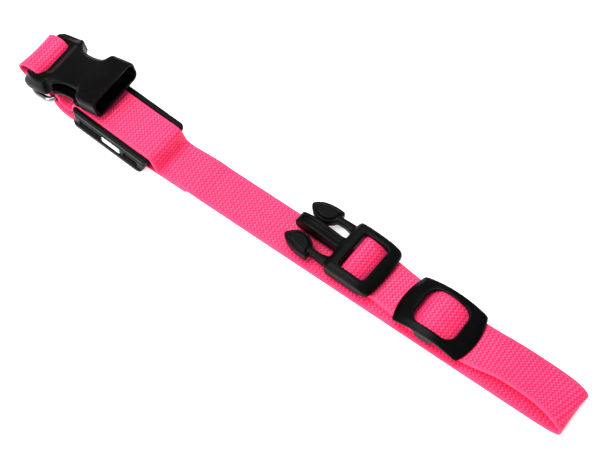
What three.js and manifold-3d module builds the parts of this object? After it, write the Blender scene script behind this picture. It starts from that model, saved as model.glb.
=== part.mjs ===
// A dog collar of flat webbing, unbuckled and lying as a flattened loop.
// Millimetres; X along the collar, Y across it, Z up from the surface it lies on.
import * as THREE from "three";
import { mergeVertices } from "three/addons/utils/BufferGeometryUtils.js";
import Module from "manifold-3d";

const wasm = await Module();
wasm.setup();

// the flattened loop, from the webbing's turn at the socket to its fold
const collar = { foldX: 173.2, length: 355 };
const left = collar.foldX - collar.length;

// webbing
const webbing = { width: 25, thickness: 1.5, chamfer: 0.35, step: 30, turn: 9 };
const gap = 0.35;
const layer = webbing.thickness + gap;
const floorZ = webbing.thickness / 2;
const secondZ = floorZ + layer;
const thirdZ = secondZ + layer;
const slotHalf = webbing.width / 2 + 0.7;

// socket half of the buckle
const socket = {
  length: 57, halfWidth: 16.8, waistHalf: 10.2, armEndHalf: 15.4,
  mouthHeight: 12.8, armHeight: 9.4, wall: 1.8, sideWall: 1.9,
  slotTo: 15.2, barX: 4.0, barZ: -1.5, barRadius: 2.1, droop: 2.8,
  pitch: 13.2, yaw: 0.8, roll: 2.5, x: left + 4.4, y: 3.1, z: 11.2,
};

// plug half of the buckle
const plug = {
  frameFrom: 27.2, frameTo: 56, halfWidth: 16.2, cornerRadius: 3.8,
  windowFrom: 33.4, windowTo: 50.2, bottom: 3.7, top: 11.4, endTop: 10.2, endBottom: 5.75,
  barX: 38.1, barZ: 6.0, barRadius: 1.7,
  guideFrom: -0.6, guideHalf: 3.3, guideGroove: 1.2, grooveDepth: 1.1,
  leftCorner: 3.4, prongBottom: 4.2, prongTop: 9.8, y: 6.5, yaw: -1.5,
};

// slider
const slider = {
  from: 69.2, to: 115.2, cornerInset: 4.2, cornerCut: 3.2, halfWidth: 15.3,
  windowFrom: 79.2, windowTo: 103.6, windowRadius: 4.5,
  railEnd: 3.9, railMiddle: 9.8, topEnd: 6.7, topMiddle: 14.1, barUnder: 5.65,
  barX: 91, barHalf: 2.6, barBottom: 4.5, barTop: 7.5,
  bossHalf: 4.2, y: 3.4,
};

// ring
const ring = {
  wire: 3, halfWidth: 17.2, corner: 4.5, barX: left + 25.8, barZ: 4.4, bowX: left + 16.8, bowReach: 14.4, lowZ: 1.5, y: 2.6,
};

// module
const box = {
  from: left + 43.55, y: -1.1, yaw: -2.8, length: 55.3, width: 32.3, height: 14.2, deck: 12.0,
  cornerRadius: 3, rim: 3.0, rimOverhang: 3.4, endSlope: 5.2,
  channelDepth: 2.0, channelWall: 1.4,
  grooveFrom: -22, grooveTo: 20.5, grooveBottom: 4.4, grooveTop: 8.2, grooveDepth: 1.1,
  windowFrom: -5.2, windowTo: 7.6, windowStand: 0.25, dividerTo: 10.4,
};
const boxLow = box.from;
const boxHigh = box.from + box.length;
const boxX = (boxLow + boxHigh) / 2;
const deckZ = box.deck + gap + webbing.thickness / 2;

// centre line of the webbing from its short sewn end to its far sewn end
// lean raises the near edge, in degrees
const path = [
  // short ply, flat on the surface and under the module
  { x: boxHigh + 21.15, y: box.y + 0.4, z: floorZ, lean: 0 },
  { x: boxHigh - 3.05, y: box.y + 0.3, z: floorZ, lean: 0 },
  { x: boxLow + 2.25, y: box.y, z: floorZ, lean: 0 },
  { x: boxLow - 4.75, y: -0.9, z: floorZ + 0.05, lean: 0 },
  { x: ring.barX + 7, y: 0.1, z: floorZ + 0.7, lean: 0 },
  // round the underside of the ring's bar
  { x: ring.barX + 3, y: ring.y - 1.1, z: ring.barZ - 2.7, lean: 0 },
  { x: ring.barX - 1, y: ring.y - 0.2, z: ring.barZ - 2.75, lean: 0 },
  { x: ring.barX - 6, y: ring.y + 0.1, z: ring.barZ - 2.5, lean: 0 },
  { x: ring.barX - 10.5, y: ring.y + 0.3, z: ring.barZ - 0.8, lean: 0 },
  { x: ring.barX - 15, y: ring.y + 0.5, z: ring.barZ + 0.3, lean: 0 },
  // loop round the socket's bar
  { x: socket.x + 0.9, y: socket.y, z: socket.z - 6, lean: 0 },
  { x: socket.x - 2.8, y: socket.y, z: socket.z - 4.3, lean: 0 },
  { x: socket.x - 4.4, y: socket.y, z: socket.z - 0.9, lean: 0 },
  { x: socket.x - 3, y: socket.y, z: socket.z + 2.7, lean: 0 },
  { x: socket.x + 1, y: socket.y, z: socket.z + 4.9, lean: 0 },
  { x: socket.x + 6, y: socket.y, z: socket.z + 4.8, lean: 0 },
  { x: socket.x + 9.6, y: socket.y, z: socket.z + 2.2, lean: 0 },
  { x: socket.x + 11.3, y: socket.y, z: socket.z - 1.4, lean: 0 },
  { x: socket.x + 14.2, y: socket.y, z: socket.z - 4.4, lean: 0 },
  { x: socket.x + 17.8, y: socket.y - 0.3, z: socket.z - 4.25, lean: 0 },
  // over the ring's bar and down to the sewn zone
  { x: ring.barX, y: ring.y - 0.3, z: ring.barZ + 2.75, lean: 0 },
  { x: ring.barX + 3.6, y: ring.y - 1.2, z: ring.barZ + 1, lean: 0 },
  { x: ring.barX + 7, y: ring.y - 1.9, z: floorZ + 0.7 + layer, lean: 0 },
  { x: boxLow - 8.35, y: 0.5, z: 3.6, lean: 0 },
  { x: boxLow - 6.05, y: 0.4, z: 5.6, lean: 0 },
  { x: boxLow - 4.75, y: 0.3, z: 8.8, lean: 0 },
  { x: boxLow - 3.15, y: 0.3, z: 12.1, lean: 0 },
  { x: boxLow + 0.45, y: 0.2, z: deckZ + 0.35, lean: 0 },
  { x: boxLow + 5.25, y: 0, z: deckZ, lean: 0 },
  { x: boxHigh - 9.05, y: -2.0, z: deckZ, lean: 0 },
  // down the far end of the module
  { x: boxHigh - 4.25, y: -2.2, z: deckZ + 0.3, lean: 0 },
  { x: boxHigh - 0.85, y: -2.2, z: 12.6, lean: 0 },
  { x: boxHigh + 0.75, y: -2.1, z: 10.2, lean: 0 },
  { x: boxHigh + 1.95, y: -1.9, z: 7.2, lean: 0 },
  { x: boxHigh + 3.65, y: -1.6, z: 4.3, lean: 0 },
  { x: boxHigh + 6.95, y: -1.3, z: secondZ + 0.2, lean: 0 },
  { x: boxHigh + 11.95, y: -1.1, z: secondZ, lean: 0 },
  { x: boxHigh + 20.95, y: -0.7, z: secondZ, lean: 0 },
  { x: boxHigh + 25.95, y: -0.4, z: secondZ - 0.4, lean: 0 },
  { x: boxHigh + 32.95, y: -0.1, z: floorZ + 0.3, lean: 0 },
  { x: boxHigh + 38.95, y: 0, z: floorZ, lean: 0 },
  // long single run
  { x: plug.guideFrom + 0.6, y: 0, z: floorZ, lean: 0 },
  { x: collar.foldX - 23.2, y: 0, z: floorZ, lean: 0 },
  { x: collar.foldX - 10.2, y: 0.1, z: floorZ + 0.1, lean: 0 },
  // fold
  { x: collar.foldX - 3.2, y: 0.3, z: 1.4, lean: 0 },
  { x: collar.foldX, y: 0.5, z: 3.0, lean: 0 },
  { x: collar.foldX, y: 0.8, z: 5.2, lean: 1 },
  { x: collar.foldX - 2.2, y: 1.5, z: 7.0, lean: 3 },
  { x: collar.foldX - 7, y: 2.8, z: 7.9, lean: 7 },
  // raised layer above
  { x: collar.foldX - 15.2, y: slider.y + 0.7, z: 7.6, lean: 11 },
  { x: collar.foldX - 27.2, y: slider.y + 1.6, z: 6.8, lean: 13 },
  { x: collar.foldX - 41.2, y: slider.y + 1.6, z: 6.0, lean: 11 },
  { x: slider.to + 5.8, y: slider.y + 0.8, z: 4.8, lean: 4 },
  { x: slider.to - 1.2, y: slider.y + 0.3, z: thirdZ, lean: 0 },
  // over the slider's middle bar
  { x: slider.barX + 16, y: slider.y, z: 4.9, lean: 0 },
  { x: slider.barX + 10, y: slider.y, z: slider.barTop + 0.9, lean: 0 },
  { x: slider.barX + 4.5, y: slider.y, z: slider.barTop + 3.4, lean: 0 },
  { x: slider.barX - 0.5, y: slider.y, z: slider.barTop + 4.1, lean: 0 },
  { x: slider.barX - 5.5, y: slider.y, z: slider.barTop + 2.9, lean: 0 },
  { x: slider.barX - 9.8, y: slider.y + 0.1, z: slider.barTop - 0.7, lean: 0 },
  { x: slider.barX - 14, y: slider.y + 0.4, z: 4.8, lean: 0 },
  { x: slider.from + 2.4, y: slider.y + 0.8, z: thirdZ, lean: 0 },
  { x: plug.frameTo, y: plug.y - 0.6, z: thirdZ, lean: 0 },
  // over the plug's bar and back beneath
  { x: plug.barX + 14.3, y: plug.y - 0.3, z: thirdZ, lean: 0 },
  { x: plug.barX + 10.8, y: plug.y - 0.1, z: plug.barZ - 1, lean: 0 },
  { x: plug.barX + 7.5, y: plug.y, z: plug.barZ + 1.1, lean: 0 },
  { x: plug.barX + 3.9, y: plug.y, z: plug.barZ + 2.8, lean: 0 },
  { x: plug.barX + 0.7, y: plug.y, z: plug.barZ + 3.2, lean: 0 },
  { x: plug.barX - 2.2, y: plug.y, z: plug.barZ + 2, lean: 0 },
  { x: plug.barX - 3.15, y: plug.y, z: plug.barZ - 0.4, lean: 0 },
  { x: plug.barX - 2.1, y: plug.y, z: plug.barZ - 2.5, lean: 0 },
  { x: plug.barX + 0.9, y: plug.y, z: secondZ, lean: 0 },
  { x: plug.frameTo + 1, y: plug.y - 0.6, z: secondZ, lean: 0 },
  { x: slider.from + 2.8, y: slider.y + 0.8, z: secondZ, lean: 0 },
  { x: slider.barX - 5, y: slider.y, z: secondZ, lean: 0 },
  // sewn round the slider's middle bar
  { x: slider.barX + 0.6, y: slider.y, z: slider.barTop - 4.4, lean: 0 },
  { x: slider.barX + 4, y: slider.y, z: slider.barTop - 2.5, lean: 0 },
  { x: slider.barX + 3.5, y: slider.y, z: slider.barTop + 0.3, lean: 0 },
  { x: slider.barX + 0.2, y: slider.y, z: slider.barTop + 1.3, lean: 0 },
  { x: slider.barX - 3.6, y: slider.y, z: slider.barTop + 0.5, lean: 0 },
  { x: slider.barX - 6.6, y: slider.y, z: slider.barTop - 2.1, lean: 0 },
  { x: slider.barX - 9.1, y: slider.y, z: thirdZ + 0.1, lean: 0 },
];

// a closed solid from a geometry, for cutting and joining
function solid(geometry) {
  const bare = geometry.index ? geometry.toNonIndexed() : geometry.clone();
  bare.deleteAttribute("normal");
  bare.deleteAttribute("uv");
  const merged = mergeVertices(bare, 1e-4);
  return new wasm.Manifold(new wasm.Mesh({
    numProp: 3,
    vertProperties: new Float32Array(merged.attributes.position.array),
    triVerts: new Uint32Array(merged.index.array),
  }));
}

function surface(body) {
  const mesh = body.getMesh();
  const geometry = new THREE.BufferGeometry();
  geometry.setAttribute("position", new THREE.BufferAttribute(new Float32Array(mesh.vertProperties), 3));
  geometry.setIndex(new THREE.BufferAttribute(new Uint32Array(mesh.triVerts), 1));
  geometry.computeVertexNormals();
  return geometry;
}

// an outline pushed along Z (plan), Y (side) or X (front)
const axes = {
  plan: [[1, 0, 0], [0, 1, 0], [0, 0, 1]],
  side: [[1, 0, 0], [0, 0, 1], [0, -1, 0]],
  front: [[0, 1, 0], [0, 0, 1], [1, 0, 0]],
};

function prism(outline, view, from, to, segments = 6) {
  const geometry = new THREE.ExtrudeGeometry(outline, {
    depth: to - from, bevelEnabled: false, curveSegments: segments, steps: 1,
  });
  const [right, up, out] = axes[view].map((v) => new THREE.Vector3(...v));
  const start = view === "side" ? -to : from;
  geometry.translate(0, 0, start);
  geometry.applyMatrix4(new THREE.Matrix4().makeBasis(right, up, out));
  return solid(geometry);
}

function roundedBox(x0, x1, y0, y1, radius) {
  const s = new THREE.Shape();
  s.moveTo(x0 + radius, y0);
  s.lineTo(x1 - radius, y0);
  s.absarc(x1 - radius, y0 + radius, radius, -Math.PI / 2, 0);
  s.lineTo(x1, y1 - radius);
  s.absarc(x1 - radius, y1 - radius, radius, 0, Math.PI / 2);
  s.lineTo(x0 + radius, y1);
  s.absarc(x0 + radius, y1 - radius, radius, Math.PI / 2, Math.PI);
  s.lineTo(x0, y0 + radius);
  s.absarc(x0 + radius, y0 + radius, radius, Math.PI, Math.PI * 1.5);
  return s;
}

function polygon(points) {
  return new THREE.Shape(points.map(([x, y]) => new THREE.Vector2(x, y)));
}

function block(x0, x1, y0, y1, z0, z1) {
  return prism(polygon([[x0, y0], [x1, y0], [x1, y1], [x0, y1]]), "plan", z0, z1);
}

function crossBar(x, z, radius, half) {
  const geometry = new THREE.CylinderGeometry(radius, radius, half * 2, 20, 1);
  geometry.translate(x, 0, z);
  return solid(geometry);
}

// the webbing swept along its centre line
function ribbon(rows) {
  const curve = new THREE.CatmullRomCurve3(
    rows.map((r) => new THREE.Vector3(r.x, r.y, r.z)), false, "centripetal",
  );
  const last = rows.length - 1;
  const fine = 16 * last;
  const stations = [];
  let kept = null;
  for (let i = 0; i <= fine; i += 1) {
    const t = i / fine;
    const tangent = curve.getTangent(t).normalize();
    const point = curve.getPoint(t);
    const turned = kept ? THREE.MathUtils.radToDeg(tangent.angleTo(kept.tangent)) : 180;
    const moved = kept ? point.distanceTo(kept.point) : 1e3;
    if (turned < webbing.turn && moved < webbing.step && i !== fine) {
      continue;
    }
    const row = Math.min(last - 1, Math.floor(t * last));
    const share = t * last - row;
    const lean = THREE.MathUtils.degToRad(
      rows[row].lean * (1 - share) + rows[row + 1].lean * share,
    );
    kept = { point, tangent, lean };
    stations.push(kept);
  }
  const hw = webbing.width / 2;
  const ht = webbing.thickness / 2;
  const c = webbing.chamfer;
  const section = [
    [-hw, -ht + c], [-hw + c, -ht], [hw - c, -ht], [hw, -ht + c],
    [hw, ht - c], [hw - c, ht], [-hw + c, ht], [-hw, ht - c],
  ];
  const positions = [];
  const index = [];
  for (const station of stations) {
    const across = new THREE.Vector3(0, Math.cos(station.lean), -Math.sin(station.lean));
    across.addScaledVector(station.tangent, -across.dot(station.tangent)).normalize();
    const up = station.tangent.clone().cross(across);
    for (const [a, b] of section) {
      const p = station.point.clone().addScaledVector(across, a).addScaledVector(up, b);
      positions.push(p.x, p.y, p.z);
    }
  }
  const n = section.length;
  for (let i = 0; i < stations.length - 1; i += 1) {
    for (let j = 0; j < n; j += 1) {
      const a = i * n + j;
      const b = i * n + ((j + 1) % n);
      index.push(a, b, a + n, b, b + n, a + n);
    }
  }
  const end = (stations.length - 1) * n;
  for (let j = 1; j < n - 1; j += 1) {
    index.push(0, j + 1, j);
    index.push(end, end + j, end + j + 1);
  }
  const geometry = new THREE.BufferGeometry();
  geometry.setAttribute("position", new THREE.Float32BufferAttribute(positions, 3));
  geometry.setIndex(index);
  geometry.computeVertexNormals();
  return geometry;
}

// socket, built level with its arm ends at X = 0 and turned into place
function buildSocket() {
  const s = socket;
  const plan = new THREE.Shape();
  const half = (side) => [
    [0.6, s.armEndHalf - 2.2], [1.8, s.armEndHalf], [8, s.halfWidth - 0.3], [15.5, s.halfWidth],
    [18.6, s.halfWidth - 1.2], [21.5, 14.0], [25.5, 11.5], [30, s.waistHalf], [34.5, s.waistHalf],
    [38.6, 11.6], [41.2, 14.4], [43.6, s.halfWidth - 0.4], [46.5, s.halfWidth], [s.length - 1.0, s.halfWidth],
    [s.length, s.halfWidth - 0.8],
  ].map(([x, y]) => [x, y * side]);
  const points = [...half(-1), ...half(1).reverse()];
  plan.setFromPoints(points.map(([x, y]) => new THREE.Vector2(x, y)));
  const a = s.armHeight / 2;
  const m = s.mouthHeight / 2;
  const side = polygon([
    [0, -a - 0.4], [1.4, -a - s.droop + 0.6], [4, -a - s.droop], [9, -a - s.droop + 0.4],
    [20, -a - 0.5], [30, -a + 0.4], [44, -m + 0.6], [s.length - 2, -m], [s.length, -m],
    [s.length, m], [s.length - 3, m], [44, m - 0.5], [30, a + 0.2], [18, a - 0.6], [8, a - 2.0],
    [4, a - 2.0], [1.2, a - 3.0], [0, a - 5.0],
  ]);
  const front = roundedBox(-s.halfWidth, s.halfWidth, -m, m, 4.6);
  const arms = roundedBox(-s.halfWidth, s.halfWidth, -a - s.droop, a, 1.8);
  const section = prism(front, "front", 24, s.length + 1, 8).add(prism(arms, "front", -1, 24));
  let body = prism(plan, "plan", -12, 12).intersect(prism(side, "side", -20, 20)).intersect(section);
  const innerHeight = m - s.wall;
  const cavity = roundedBox(-s.halfWidth + s.sideWall, s.halfWidth - s.sideWall, -innerHeight, innerHeight, 3.2);
  const taper = polygon([
    [21, -a + 2.0], [30, -a + 2.1], [44, -innerHeight], [s.length + 1, -innerHeight],
    [s.length + 1, innerHeight], [44, innerHeight - 0.5], [30, a - 1.6], [21, a - 2.2],
  ]);
  body = body.subtract(prism(cavity, "front", 21, s.length + 1, 8).intersect(prism(taper, "side", -20, 20)));
  body = body.subtract(block(-2, s.slotTo, -slotHalf, slotHalf, -12, 12));
  body = body.add(crossBar(s.barX, s.barZ, s.barRadius, slotHalf + 1));
  const geometry = surface(body);
  geometry.rotateX(THREE.MathUtils.degToRad(s.roll));
  geometry.rotateY(-THREE.MathUtils.degToRad(s.pitch));
  geometry.rotateZ(THREE.MathUtils.degToRad(s.yaw));
  geometry.translate(s.x, s.y, s.z);
  return geometry;
}

// plug: frame, middle guide and two sprung prongs in one moulding
function buildPlug() {
  const p = plug;
  const plan = new THREE.Shape();
  const r = p.cornerRadius;
  plan.moveTo(p.frameFrom + p.leftCorner, -p.halfWidth);
  plan.lineTo(p.frameTo - r, -p.halfWidth + 0.5);
  plan.quadraticCurveTo(p.frameTo, -p.halfWidth + 0.6, p.frameTo, -p.halfWidth + r);
  plan.quadraticCurveTo(p.frameTo + 0.8, 0, p.frameTo, p.halfWidth - r);
  plan.quadraticCurveTo(p.frameTo, p.halfWidth - 0.6, p.frameTo - r, p.halfWidth - 0.5);
  plan.lineTo(p.frameFrom + p.leftCorner, p.halfWidth);
  plan.lineTo(p.frameFrom, p.halfWidth - 1.6);
  plan.lineTo(p.frameFrom, -p.halfWidth + 1.6);
  const side = polygon([
    [p.frameFrom, p.bottom], [p.frameTo - 7, p.bottom], [p.frameTo - 4, p.endBottom], [p.frameTo + 2, p.endBottom],
    [p.frameTo + 2, p.endTop - 1.4], [p.frameTo - 2.6, p.endTop], [44, p.top], [p.frameFrom + 1.6, p.top],
    [p.frameFrom, p.top - 0.9],
  ]);
  const front = roundedBox(-p.halfWidth, p.halfWidth, p.bottom, p.top, 2.4);
  let body = prism(plan, "plan", 0, 20)
    .intersect(prism(side, "side", -20, 20))
    .intersect(prism(front, "front", p.frameFrom - 1, p.frameTo + 3));
  body = body.subtract(prism(roundedBox(p.windowFrom, p.windowTo, -slotHalf, slotHalf, 1.4), "plan", 0, 20));
  body = body.subtract(block(p.windowTo - 3, p.frameTo + 3, -slotHalf, slotHalf, 0, p.endBottom));
  body = body.add(crossBar(p.barX, p.barZ, p.barRadius, slotHalf + 1));
  let guide = block(p.guideFrom, p.frameFrom + 1, -p.guideHalf, p.guideHalf, p.bottom + 0.3, p.top - 0.2);
  guide = guide.intersect(prism(polygon([
    [p.guideFrom, 5.6], [p.guideFrom + 1.6, p.bottom], [30, p.bottom], [30, p.top],
    [p.guideFrom + 2.6, p.top], [p.guideFrom, p.top - 2.2],
  ]), "side", -20, 20));
  guide = guide.subtract(block(
    p.guideFrom + 3, p.frameFrom - 0.5, -p.guideGroove, p.guideGroove, p.top - 0.2 - p.grooveDepth, 20,
  ));
  body = body.add(guide);
  const prongPlan = (sign) => polygon([
    [p.frameFrom + 1, 10.5], [24, 10.6], [19, 10.2], [15.6, 9.0], [12.6, 7.3], [9.4, 6.6], [6.0, 6.9],
    [3.0, 8.3], [0.6, 10.4], [-0.1, 11.8], [0.2, 13.0], [2.6, 14.4], [6.4, 15.8], [10.6, 16.6],
    [15.8, 16.6], [16.4, 16.1], [16.4, 14.7], [22, 14.5], [p.frameFrom + 1, 14.9],
  ].map(([x, y]) => [x, y * sign]));
  const prongSide = polygon([
    [-1, 6.6], [1, 5.2], [5, p.prongBottom], [15, p.prongBottom], [17, 4.9], [30, 4.9],
    [30, 9.8], [17, 9.8], [15, p.prongTop], [5, p.prongTop], [1, 9.4], [-1, 8.2],
  ]);
  for (const sign of [-1, 1]) {
    body = body.add(prism(prongPlan(sign), "plan", 0, 20).intersect(prism(prongSide, "side", -20, 20)));
  }
  const geometry = surface(body);
  const middle = (p.windowFrom + p.windowTo) / 2;
  geometry.translate(-middle, 0, 0);
  geometry.rotateZ(THREE.MathUtils.degToRad(p.yaw));
  geometry.translate(middle, p.y, 0);
  return geometry;
}

// slider: an arched frame with a hidden middle bar
function buildSlider() {
  const s = slider;
  const mid = (s.from + s.to) / 2;
  const plan = new THREE.Shape();
  const c = s.cornerCut;
  const bulge = s.cornerInset - 1;
  plan.moveTo(s.from + s.cornerInset + c, -s.halfWidth);
  plan.lineTo(s.to - s.cornerInset - c, -s.halfWidth);
  plan.lineTo(s.to - s.cornerInset, -s.halfWidth + c);
  plan.quadraticCurveTo(s.to + bulge, 0, s.to - s.cornerInset, s.halfWidth - c);
  plan.lineTo(s.to - s.cornerInset - c, s.halfWidth);
  plan.lineTo(s.from + s.cornerInset + c, s.halfWidth);
  plan.lineTo(s.from + s.cornerInset, s.halfWidth - c);
  plan.quadraticCurveTo(s.from - bulge, 0, s.from + s.cornerInset, -s.halfWidth + c);
  const half = (s.to - s.from) / 2;
  const xs = [-1, -0.8, -0.6, -0.4, -0.2, 0, 0.2, 0.4, 0.6, 0.8, 1].map((v) => mid + v * half);
  const arc = (end, middle) => (x) => [x, middle - (middle - end) * ((x - mid) / half) ** 2];
  const under = xs.map(arc(s.railEnd, s.railMiddle));
  const top = xs.map(arc(s.topEnd, s.topMiddle));
  const side = polygon([...under, ...top.reverse()]);
  let body = prism(plan, "plan", 0, 30, 10).intersect(prism(side, "side", -20, 20));
  body = body.subtract(prism(roundedBox(s.windowFrom, s.windowTo, -slotHalf, slotHalf, s.windowRadius), "plan", 0, 30));
  body = body.subtract(block(s.from - 1, s.windowFrom + 1, -slotHalf, slotHalf, 0, s.barUnder));
  body = body.subtract(block(s.windowTo - 1, s.to + 1, -slotHalf, slotHalf, 0, s.barUnder));
  for (const sign of [-1, 1]) {
    const ys = [sign * slotHalf, sign * (s.halfWidth - 0.2)].sort((a, b) => a - b);
    const boss = polygon([
      [s.barX - s.bossHalf, s.barBottom], [s.barX + s.bossHalf, s.barBottom],
      [s.barX + s.bossHalf + 2, s.railMiddle + 1], [s.barX - s.bossHalf - 2, s.railMiddle + 1],
    ]);
    body = body.add(prism(boss, "side", ys[0], ys[1]));
  }
  const bar = roundedBox(s.barX - s.barHalf, s.barX + s.barHalf, s.barBottom, s.barTop, 1.2);
  body = body.add(prism(bar, "side", -slotHalf - 1, slotHalf + 1));
  const geometry = surface(body);
  geometry.translate(0, s.y, 0);
  return geometry;
}

// ring: straight bar between the plies, bow lying on the surface
function buildRing() {
  const r = ring.wire / 2;
  const half = ring.halfWidth - r;
  const corner = ring.corner;
  const points = [];
  const bowEnd = ring.bowX - ring.bowReach + r;
  const rise = (ring.barZ - ring.lowZ) / (ring.barX - bowEnd);
  const add = (x, y) => points.push(new THREE.Vector3(x, ring.y + y, ring.lowZ + rise * (x - bowEnd)));
  for (const share of [-0.6, -0.3, 0, 0.3, 0.6]) {
    add(ring.barX, share * half);
  }
  for (const angle of [0, 30, 60, 90]) {
    const a = THREE.MathUtils.degToRad(angle);
    add(ring.barX - corner + corner * Math.cos(a), half - corner + corner * Math.sin(a));
  }
  for (const angle of [100, 120, 140, 160, 180, 200, 220, 240, 260]) {
    const a = THREE.MathUtils.degToRad(angle);
    add(ring.bowX + (ring.bowReach - r) * Math.cos(a), half * Math.sin(a));
  }
  for (const angle of [270, 300, 330, 360]) {
    const a = THREE.MathUtils.degToRad(angle);
    add(ring.barX - corner + corner * Math.cos(a), -half + corner + corner * Math.sin(a));
  }
  const curve = new THREE.CatmullRomCurve3(points, true, "centripetal");
  const geometry = new THREE.TubeGeometry(curve, 64, r, 10, true);
  return surface(solid(geometry));
}

// module case with a rim along each side of the webbing
function buildCase() {
  const b = box;
  const hl = b.length / 2;
  const hw = b.width / 2;
  const plan = roundedBox(-hl, hl, -hw, hw, b.cornerRadius);
  const side = polygon([
    [-hl, 1.2], [-hl + 1.2, 0], [hl - b.endSlope - 2.4, 0], [hl - b.endSlope + 1, 2.2], [hl - 1.2, b.deck - 2.4],
    [hl, b.height - 2.4], [hl, b.height], [-hl, b.height],
  ]);
  let body = prism(plan, "plan", 0, b.height).intersect(prism(side, "side", -30, 30));
  const inner = hw - b.rim;
  body = body.subtract(block(-hl - 1, hl + 1, -inner, inner, b.deck, b.height + 1));
  body = body.subtract(block(hl - b.rimOverhang, hl + 1, -inner, inner, -1, b.height + 1));
  const channelHalf = hw - b.channelWall;
  body = body.subtract(block(-hl - 1, hl + 1, -channelHalf, channelHalf, -1, b.channelDepth));
  const groove = (from, to) => block(from, to, -hw - 1, -hw + b.grooveDepth, b.grooveBottom, b.grooveTop);
  body = body.subtract(groove(b.grooveFrom, b.windowTo + gap)).subtract(groove(b.dividerTo, b.grooveTo));
  return placeOnBox(surface(body));
}

// white window set into the case's near wall
function buildWindow() {
  const b = box;
  const hw = b.width / 2;
  const body = block(
    b.windowFrom, b.windowTo, -hw - b.windowStand, -hw + b.grooveDepth - gap,
    b.grooveBottom + gap, b.grooveTop - gap,
  );
  return placeOnBox(surface(body));
}

function placeOnBox(geometry) {
  geometry.rotateZ(THREE.MathUtils.degToRad(box.yaw));
  geometry.translate(boxX, box.y, 0);
  return geometry;
}

const finishes = {
  webbing: { color: 0xff4f84, roughness: 0.85, metalness: 0 },
  blackPlastic: { color: 0x1b1b1c, roughness: 0.5, metalness: 0 },
  steel: { color: 0xd8dade, roughness: 0.18, metalness: 1 },
  whitePlastic: { color: 0xf4f4f2, roughness: 0.4, metalness: 0 },
};

const pieces = [
  { name: "strap", geometry: ribbon(path), finish: finishes.webbing },
  { name: "buckle_socket", geometry: buildSocket(), finish: finishes.blackPlastic },
  { name: "buckle_plug", geometry: buildPlug(), finish: finishes.blackPlastic },
  { name: "slider", geometry: buildSlider(), finish: finishes.blackPlastic },
  { name: "d_ring", geometry: buildRing(), finish: finishes.steel },
  { name: "module_case", geometry: buildCase(), finish: finishes.blackPlastic },
  { name: "module_window", geometry: buildWindow(), finish: finishes.whitePlastic },
];

// the object's footprint centred on the origin, its underside on Z = 0
const bounds = new THREE.Box3();
for (const piece of pieces) {
  piece.geometry.computeBoundingBox();
  bounds.union(piece.geometry.boundingBox);
}
const centre = bounds.getCenter(new THREE.Vector3());

const group = new THREE.Group();
group.name = "dog_collar";
for (const piece of pieces) {
  piece.geometry.translate(-centre.x, -centre.y, -bounds.min.z);
  const mesh = new THREE.Mesh(piece.geometry, new THREE.MeshStandardMaterial(piece.finish));
  mesh.name = piece.name;
  group.add(mesh);
}

export default group;
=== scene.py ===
"""The looks of a dog collar of pink webbing, unbuckled and lying flat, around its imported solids.

Sizes are in millimetres, as in the part's own drawing, and meshes are made in metres.
"""
import logging
import math
from dataclasses import dataclass
from enum import Enum
from typing import Callable, NamedTuple, Sequence

import bpy
import numpy as np
from mathutils import Matrix, Vector

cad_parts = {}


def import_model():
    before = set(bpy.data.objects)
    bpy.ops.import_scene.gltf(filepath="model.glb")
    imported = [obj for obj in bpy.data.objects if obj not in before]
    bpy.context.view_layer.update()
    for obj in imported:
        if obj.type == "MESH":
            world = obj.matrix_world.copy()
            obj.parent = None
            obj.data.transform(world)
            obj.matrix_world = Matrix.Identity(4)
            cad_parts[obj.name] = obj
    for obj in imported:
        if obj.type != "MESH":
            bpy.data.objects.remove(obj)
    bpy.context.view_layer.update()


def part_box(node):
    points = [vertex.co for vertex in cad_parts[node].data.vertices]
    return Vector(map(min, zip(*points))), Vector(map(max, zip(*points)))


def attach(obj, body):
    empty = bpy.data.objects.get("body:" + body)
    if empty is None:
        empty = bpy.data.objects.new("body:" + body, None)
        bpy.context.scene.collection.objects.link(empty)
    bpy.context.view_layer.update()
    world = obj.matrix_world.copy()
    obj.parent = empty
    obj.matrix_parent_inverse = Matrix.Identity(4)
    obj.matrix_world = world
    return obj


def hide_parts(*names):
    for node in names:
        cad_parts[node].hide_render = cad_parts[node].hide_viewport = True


MM = 0.001
LOG = logging.getLogger("collar")
ROOT = "root"


class Slot(Enum):
    """The record's material slots."""

    WEBBING = "webbing"
    BLACK = "black_plastic"
    STEEL = "steel"
    WHITE = "white_plastic"


# shader helpers

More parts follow.
